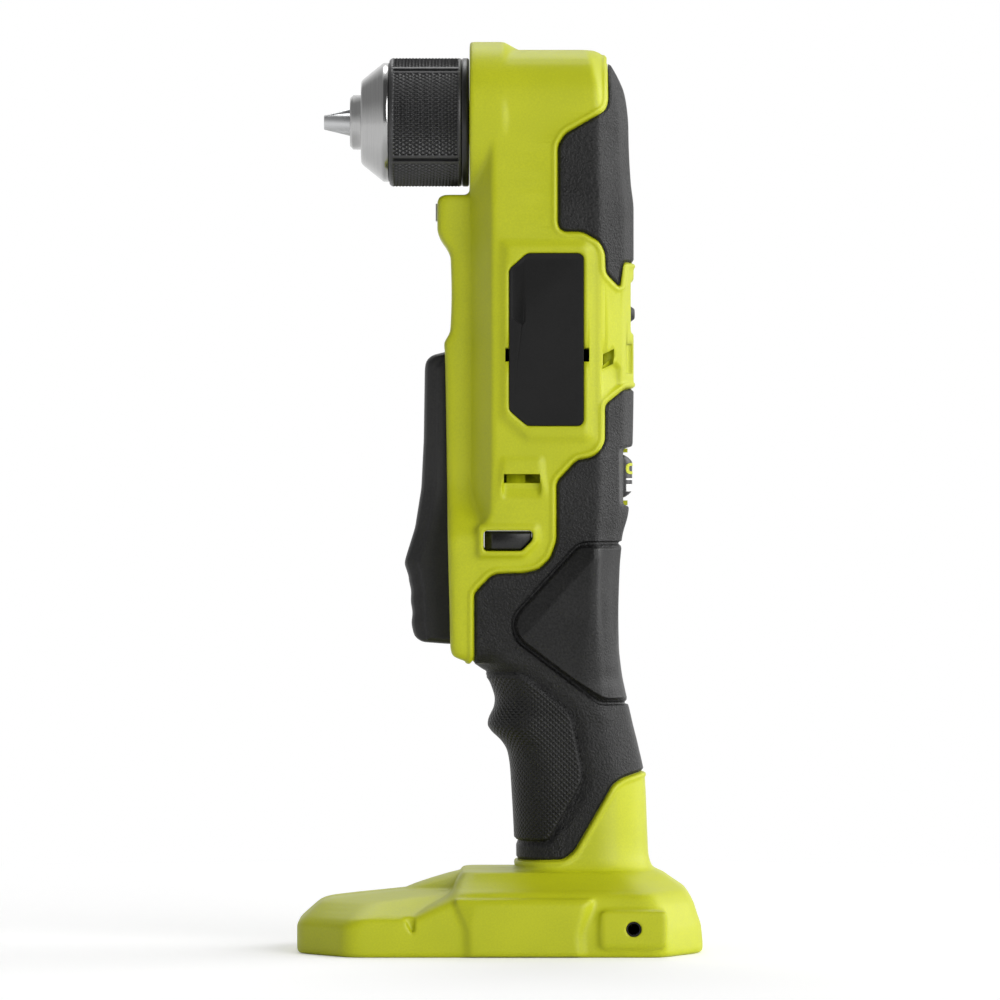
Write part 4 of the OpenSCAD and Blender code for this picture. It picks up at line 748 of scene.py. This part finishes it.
# Direction selector
# A black acetal slide, moulded in one piece, that lies across the body between the two halves and is pushed
# from either side. Its ends slope and it has one cut corner.
bm = bmesh.new()
slide_ends = [(23, [0.5, 0.5, 0.5, 0.5, 2.3]), (22.75, [0.15, 0.15, 0.15, 0.15, 2]), (21.4, [0.02] * 5)]
slide = [(y, soft_corners(drawn_in(selector_outline, by), 0.5)) for y, by in slide_ends]
side_block(bm, *slide, *[(-y, outline) for y, outline in reversed(slide)])
# Acetal: smooth and near black, glossier than the other black plastics.
acetal = moulded("moulded_black_acetal", ("#0F0F0F", "#161616"), 0.3, 0.5, 0.008)
piece(blank(bm, "slide"), "selector_slide", acetal, "selector", "control_black", "direction_selector")

# Mode button
# A rounded black acetal key in a well at the back, held between the halves, with a lime ring to press and
# plain white bars beside it, both laid into its face.
key_outline = [(-5.2, 132), (-4.2, 131), (4.2, 131), (5.2, 132), (5.2, 142.8), (4.2, 143.8), (-4.2, 143.8),
               (-5.2, 142.8)]
# How the key narrows towards its face: place along X, share of the width and of the height.
dome = [(34, 1, 1), (35.2, 0.98, 0.99), (36.2, 0.88, 0.94), (37.2, 0.68, 0.84), (38, 0.42, 0.72),
        (38.32, 0.2, 0.64)]
key_mid, mark_proud = 137.4, 0.1


def key_block(grown):
    """The key's own solid, or one that stands a little proud of it."""
    bm = bmesh.new()
    edge = soft_corners(key_outline, 1.2)
    skin(bm, [[(x + grown, y * (wide + grown / 5), key_mid + (z - key_mid) * (tall + grown / 6))
               for y, z in edge] for x, wide, tall in dome])
    return blank(bm, "key")


piece(key_block(0), "mode_key", acetal, "button", "control_black", "mode_button")
bm = bmesh.new()
ring_edge = soft_corners([(-4.4, 138), (4.4, 138), (4.4, 141.2), (-4.4, 141.2)], 1.4)
ring_hole = soft_corners([(-3.5, 138.8), (3.5, 138.8), (3.5, 140.4), (-3.5, 140.4)], 0.7)
skin(bm, [[(x, y, z) for x, (y, z) in ((36, out), (42, out), (42, hole), (36, hole))]
          for out, hole in zip(ring_edge, ring_hole)], band=True)
ring = carved(blank(bm, "ring"), key_block(mark_proud), "INTERSECT")
piece(ring, "mode_ring", lime_abs, "button", "lime_plastic")
# Printed white ink: flat and clean, a little warmer than paper.
mark_white = moulded("printed_white_ink", ("#E9E9E6", "#F2F2F0"), 0.4, 0.3, 0.004)
bm = bmesh.new()
for low, high in ((136.3, 136.8), (133, 135.1)):
    box(bm, (36, -4.3, low), (42, 4.3, high))
bars = carved(blank(bm, "bars"), key_block(mark_proud), "INTERSECT")
piece(bars, "mode_bars", mark_white, "button", "control_black")

# Keyless chuck
# Turned steel throughout: a knurled black oxide sleeve between a bright hood and a dark rear collar, on a
# body that is screwed to the spindle and whose nose holds three ground jaws.
def worked(name, colours, roughness, line, depth, along):
    """Cut or ground metal: tool lines of the given depth, spaced in millimetres along the named axes and long
    along the others. They are drawn coarser than real ones, so that they show."""
    mat = bpy.data.materials.new(name)
    mat.use_nodes = True
    surface = mat.node_tree.nodes["Principled BSDF"]
    link = mat.node_tree.links.new
    place = node(mat, "ShaderNodeTexCoord", {}).outputs["Object"]
    stretch = [1000 / line if axis in along else 60 for axis in "XYZ"]
    drawn = node(mat, "ShaderNodeMapping", {"Vector": place, "Scale": stretch})
    lines = node(mat, "ShaderNodeTexNoise", {"Vector": drawn.outputs[0], "Scale": 1, "Detail": 2})
    dark, pale = linear(colours[0]), linear(colours[1])
    tint = node(mat, "ShaderNodeMix", {"Factor": lines.outputs[0], "A": dark, "B": pale}, data_type="RGBA")
    gloss = node(mat, "ShaderNodeMapRange", {0: lines.outputs[0], 1: 0.3, 2: 0.7, 3: roughness * 0.75,
                                             4: roughness * 1.3})
    bump = node(mat, "ShaderNodeBump", {"Height": lines.outputs[0], "Strength": 1, "Distance": depth / 1000})
    link(tint.outputs["Result"], surface.inputs["Base Color"])
    link(gloss.outputs[0], surface.inputs["Roughness"])
    link(bump.outputs[0], surface.inputs["Normal"])
    surface.inputs["Metallic"].default_value = 1
    return mat


# Black oxide on steel: a thin dark skin, so the eye gets a smooth black with a tight gleam.
black_oxide = moulded("black_oxide_steel", ("#242424", "#2E2E2F"), 0.33, 0.4, 0.008)
# On the knurl the colour is painted darker down the cuts and grooves as shade, and keeps its paler tint on
# the crests.
shaded_oxide = moulded("knurl_shaded_black_oxide_steel", ("#363637", "#464647"), 0.33, 0.4, 0.008)
surface = shaded_oxide.node_tree.nodes["Principled BSDF"]
crest_share = node(shaded_oxide, "ShaderNodeAttribute", {}, attribute_name="crest").outputs["Fac"]
bare = surface.inputs["Base Color"].links[0].from_socket
# Painted shade: the near black laid into the knurl's cuts and grooves.
cuts = linear("#101010")
tint = node(shaded_oxide, "ShaderNodeMix", {"Factor": crest_share, "A": cuts, "B": bare}, data_type="RGBA")
shaded_oxide.node_tree.links.new(tint.outputs["Result"], surface.inputs["Base Color"])
# Polished turned steel mirrors the room in soft rings, ground steel scatters it along its grinding lines.
bright_steel = worked("polished_turned_steel", ("#ABABAB", "#BDBDBC"), 0.18, 0.25, 0.001, "X")
ground_steel = worked("ground_jaw_steel", ("#C4C5C6", "#D8D9DA"), 0.36, 0.2, 0.002, "YZ")

bm = bmesh.new()
turned(bm, [(11.1, 8.98), (18.1, 8.98), (18.45, 9.15), (18.6, 9.45), (18.6, 10.5), (18.5, 10.8),
            (18.3, 10.98), (11.1, 10.98)], 160)
piece(blank(bm, "collar"), "chuck_collar_ring", black_oxide, "spindle", "sleeve_black", "chuck_rear_collar")

# The knurl is 90 cuts each way round the sleeve, crossing, with four grooves along it, each on a plain land.
knurl_r, knurl_back, knurl_front = 18.6, 11.9, 31
knurl_count, knurl_pitch, knurl_depth = 90, 1.9, 0.52
groove_depth, groove_half, land_half = 0.6, 0.6, 1.5
grooves = [math.radians(51.6 + 90 * k) for k in range(4)]
bm = bmesh.new()
rows = [(knurl_r, ahead) for ahead in np.arange(knurl_back, knurl_front, 0.26)]
turned(bm, [(16, 11.08), (18.2, 11.08), (18.42, 11.25), (18.5, 11.5), *rows, (18.5, 31.3), (18.3, 31.65),
            (17.9, 32), (16, 32)], 900)
# How much of the paler crest colour each vertex keeps: less down the cuts and none in the grooves, where
# shade is painted, and 0.4 away from the knurl.
crest = bm.verts.layers.float.new("crest")
for vert in bm.verts:
    vert[crest] = 0.4
    angle = math.atan2(vert.co.z - chuck_axis, -vert.co.y)
    radius = math.hypot(vert.co.y, vert.co.z - chuck_axis)
    ahead = -vert.co.x
    if radius > 18.4:
        to_groove = min(abs((angle - g + math.pi) % math.tau - math.pi) for g in grooves) * knurl_r
        around = angle * knurl_count / math.tau
        along = (ahead - knurl_back) / knurl_pitch
        dips = [abs(value - round(value)) for value in (around + along, around - along)]
        run_out = min(1, max(0, (ahead - knurl_back) / 0.5), max(0, (knurl_front - ahead) / 0.5))
        cut = knurl_depth * run_out * (1 - min(1, 2.6 * min(dips)))
        if to_groove < land_half:
            cut = groove_depth * run_out if to_groove < groove_half else 0
        vert[crest] = 1 - cut / groove_depth
        fall = (radius - cut) / radius
        vert.co.y *= fall
        vert.co.z = chuck_axis + (vert.co.z - chuck_axis) * fall
piece(blank(bm, "sleeve"), "chuck_sleeve_knurled", shaded_oxide, "sleeve", "sleeve_black", "chuck_sleeve")

bm = bmesh.new()
turned(bm, [(14, 27), (15.95, 27), (15.95, 32.06), (17.1, 32.06), (17.25, 32.25), (17.25, 33.5), (17.1, 33.9),
            (16.6, 34.5), (12.6, 39.5), (12.1, 40), (11.6, 40.2), (8.3, 40.2), (8.25, 40.1), (8.25, 38.7),
            (11.8, 38.7), (14, 34)], 160)
piece(blank(bm, "hood"), "chuck_hood_bright", bright_steel, "sleeve", "bright_chrome", "chuck_hood")

jaw_bevel, jaw_corner = 0.16, math.radians(25)
for name, body in (("jaw_1", "jaw_a"), ("jaw_2", "jaw_b"), ("jaw_3", "jaw_c")):
    bm = cad_copy(name)
    edges = [edge for edge in bm.edges if edge.is_manifold and edge.calc_face_angle() > jaw_corner]
    bmesh.ops.bevel(bm, geom=edges, offset=jaw_bevel, affect="EDGES", segments=2, profile=0.5, material=-1)
    piece(blank(bm, name), name + "_ground", ground_steel, body, "bare_steel", name)
nose = blank(cad_copy("chuck_body"), "nose")
piece(nose, "chuck_body_turned", bright_steel, "spindle", "bare_steel", "chuck_body")

# Inner works
# Gears, shafts, bearings, motor, boards and wiring, cut, cast, stacked, wound or moulded, and held between
# the two halves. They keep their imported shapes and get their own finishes.

# Machined steel gives fine bright lines, laminations dull sheet edges, cast aluminium a pale sandy skin,
# brass a warm gleam and enamelled wire the ridges of its turns.
machined = worked("machined_steel", ("#8A8B8D", "#A3A4A6"), 0.32, 0.3, 0.003, "Z")
lamination = worked("stacked_lamination_steel", ("#6B6D70", "#86888B"), 0.4, 0.5, 0.02, "Z")
cast_alloy = worked("cast_aluminium", ("#8D8F90", "#A8AAAB"), 0.5, 1.2, 0.03, "XYZ")
brass = worked("stamped_brass", ("#B08A45", "#C49C52"), 0.3, 0.3, 0.003, "Z")
copper = worked("enamelled_copper_wire", ("#8E4A22", "#B4622F"), 0.28, 0.8, 0.06, "XY")
# Solder mask is smooth and deep green, nylon matt black, wire sleeve plain red, blackened steel dark with a
# dull gleam, and clear polycarbonate pale and glossy.
board = moulded("solder_mask_green", ("#1C4A2A", "#255C35"), 0.4, 0.8, 0.01)
nylon = moulded("black_nylon", ("#1E1E1E", "#272727"), 0.5, 0.6, 0.015)
red_wire = moulded("red_wire_sleeve", ("#8E1513", "#A81B18"), 0.45, 0.6, 0.01)
screw_steel = worked("blackened_screw_steel", ("#2C2C2E", "#3A3A3C"), 0.42, 0.3, 0.004, "XZ")
clear = moulded("clear_polycarbonate", ("#BFC1BF", "#C9CBC9"), 0.14, 0.6, 0.002)
surface = clear.node_tree.nodes["Principled BSDF"]
surface.inputs["Transmission Weight"].default_value = 0.2
surface.inputs["IOR"].default_value = 1.58
finishes = {
    machined: ("trigger_pin", "switch_plunger", "gear_case_screws", "spindle_bearing", "spindle",
               "bevel_gear", "bevel_pinion", "pinion_bearing", "planet_carrier", "planet_gear_1",
               "planet_gear_2", "planet_gear_3", "ring_gear", "motor_front_bearing", "motor_rear_bearing",
               "rotor_shaft", "chuck_screw", "chuck_nut"),
    lamination: ("rotor_core", "stator_core"),
    cast_alloy: ("gear_case", "gear_case_cover", "motor_mount_plate", "control_tray"),
    brass: ("spindle_bush", "battery_contacts"),
    copper: ("stator_windings",),
    board: ("led_board", "mode_board", "control_board", "motor_board"),
    nylon: ("terminal_block", "switch_body", "cooling_fan"),
    red_wire: ("wiring",),
    screw_steel: ("housing_screws", "accessory_inserts"),
    clear: ("led_lens",),
}
for finish, names in finishes.items():
    for name in names:
        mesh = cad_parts[name].data
        mesh.materials.clear()
        mesh.materials.append(finish)

# Studio
# A floor of pale paper under even soft light: broad lights from the right of the camera, from the right edge
# and from above and behind, in a pale room, with the background white for the camera.
bm = bmesh.new()
bmesh.ops.create_grid(bm, x_segments=1, y_segments=1, size=6)
floor = blank(bm, "studio_floor")
# White studio paper: matt, and whiter with distance, so that its edge melts into the background.
paper = bpy.data.materials.new("white_studio_paper")
paper.use_nodes = True
surface = paper.node_tree.nodes["Principled BSDF"]
surface.inputs["Base Color"].default_value = linear("#F4F4F4")
surface.inputs["Roughness"].default_value = 0.9
here = node(paper, "ShaderNodeTexCoord", {}).outputs["Object"]
far_off = node(paper, "ShaderNodeVectorMath", {0: here}, operation="LENGTH")
fade = node(paper, "ShaderNodeMapRange", {0: far_off.outputs["Value"], 1: 0.16, 2: 0.5})
path = node(paper, "ShaderNodeLightPath", {})
seen = node(paper, "ShaderNodeMath", {0: path.outputs["Is Camera Ray"], 1: path.outputs["Is Glossy Ray"]},
            operation="MAXIMUM")
seen = node(paper, "ShaderNodeMath", {0: seen.outputs[0], 1: path.outputs["Is Transmission Ray"]},
            operation="MAXIMUM")
blank_out = node(paper, "ShaderNodeMath", {0: seen.outputs[0], 1: fade.outputs[0]}, operation="MULTIPLY")
lift = node(paper, "ShaderNodeMath", {0: path.outputs["Is Camera Ray"], 1: 0.32}, operation="MULTIPLY")
lift = node(paper, "ShaderNodeEmission", {"Color": (1, 1, 1, 1), "Strength": lift.outputs[0]})
near = node(paper, "ShaderNodeAddShader", {0: surface.outputs[0], 1: lift.outputs[0]})
white = node(paper, "ShaderNodeEmission", {"Color": (1, 1, 1, 1), "Strength": 1})
mixed = node(paper, "ShaderNodeMixShader", {0: blank_out.outputs[0], 1: near.outputs[0], 2: white.outputs[0]})
paper.node_tree.links.new(mixed.outputs[0], paper.node_tree.nodes["Material Output"].inputs["Surface"])
floor.data.materials.append(paper)

for name, toward, spread, strength in (("key_light", (0.6, -0.73, 0.32), 45, 1.8),
                                       ("rim_light", (0.93, 0.2, 0.3), 45, 1.5),
                                       ("top_light", (-0.05, 0.55, 0.83), 30, 0.62)):
    lamp = bpy.data.lights.new(name, "SUN")
    lamp.energy, lamp.angle = strength, math.radians(spread)
    holder = bpy.data.objects.new(name, lamp)
    holder.rotation_euler = Vector(toward).to_track_quat("Z", "Y").to_euler()
    bpy.context.scene.collection.objects.link(holder)
world = bpy.data.worlds.new("studio_room")
bpy.context.scene.world = world
world.use_nodes = True
room = world.node_tree.nodes["Background"]
room.inputs["Color"].default_value = (1, 1, 1, 1)
path = node(world, "ShaderNodeLightPath", {})
sky = node(world, "ShaderNodeTexCoord", {}).outputs["Generated"]
toward = node(world, "ShaderNodeSeparateXYZ", {0: sky})
# Reflections see a room with a pale sheet behind, a bright right side and a left side that darkens upwards.
sheet = node(world, "ShaderNodeMapRange", {0: toward.outputs["Y"], 1: -0.05, 2: 0.35, 3: 0.1, 4: 1})
right = node(world, "ShaderNodeMapRange", {0: toward.outputs["X"], 1: 0.5, 2: 0.85, 3: 0, 4: 1})
left = node(world, "ShaderNodeMapRange", {0: toward.outputs["X"], 1: -0.3, 2: -0.6, 3: 0, 4: 1})
dusk = node(world, "ShaderNodeMapRange", {0: toward.outputs["Z"], 1: 0, 2: 0.42, 3: 0.8, 4: 0.34})
mirror = node(world, "ShaderNodeMix", {"Factor": left.outputs[0], "A": sheet.outputs[0],
                                       "B": dusk.outputs[0]})
mirror = node(world, "ShaderNodeMath", {0: mirror.outputs[0], 1: right.outputs[0]}, operation="MAXIMUM")
strength = node(world, "ShaderNodeMix", {"Factor": path.outputs["Is Glossy Ray"], "A": 0.26,
                                         "B": mirror.outputs[0]})
seen = node(world, "ShaderNodeMath", {0: path.outputs["Is Camera Ray"],
                                      1: path.outputs["Is Transmission Ray"]}, operation="MAXIMUM")
strength = node(world, "ShaderNodeMath", {0: strength.outputs[0], 1: seen.outputs[0]}, operation="MAXIMUM")
world.node_tree.links.new(strength.outputs[0], room.inputs["Strength"])

# The camera faces the left side from 2 m off, with a lens so long that the picture is 290 mm wide there.
view = bpy.data.cameras.new("camera")
view.lens, view.sensor_width = 248.3, 36
camera = bpy.data.objects.new("camera", view)
camera.location = (0, -2, 0.1305)
camera.rotation_euler = (math.pi / 2, 0, 0)
bpy.context.scene.collection.objects.link(camera)
bpy.context.scene.camera = camera
bpy.context.scene.view_settings.view_transform = "Standard"
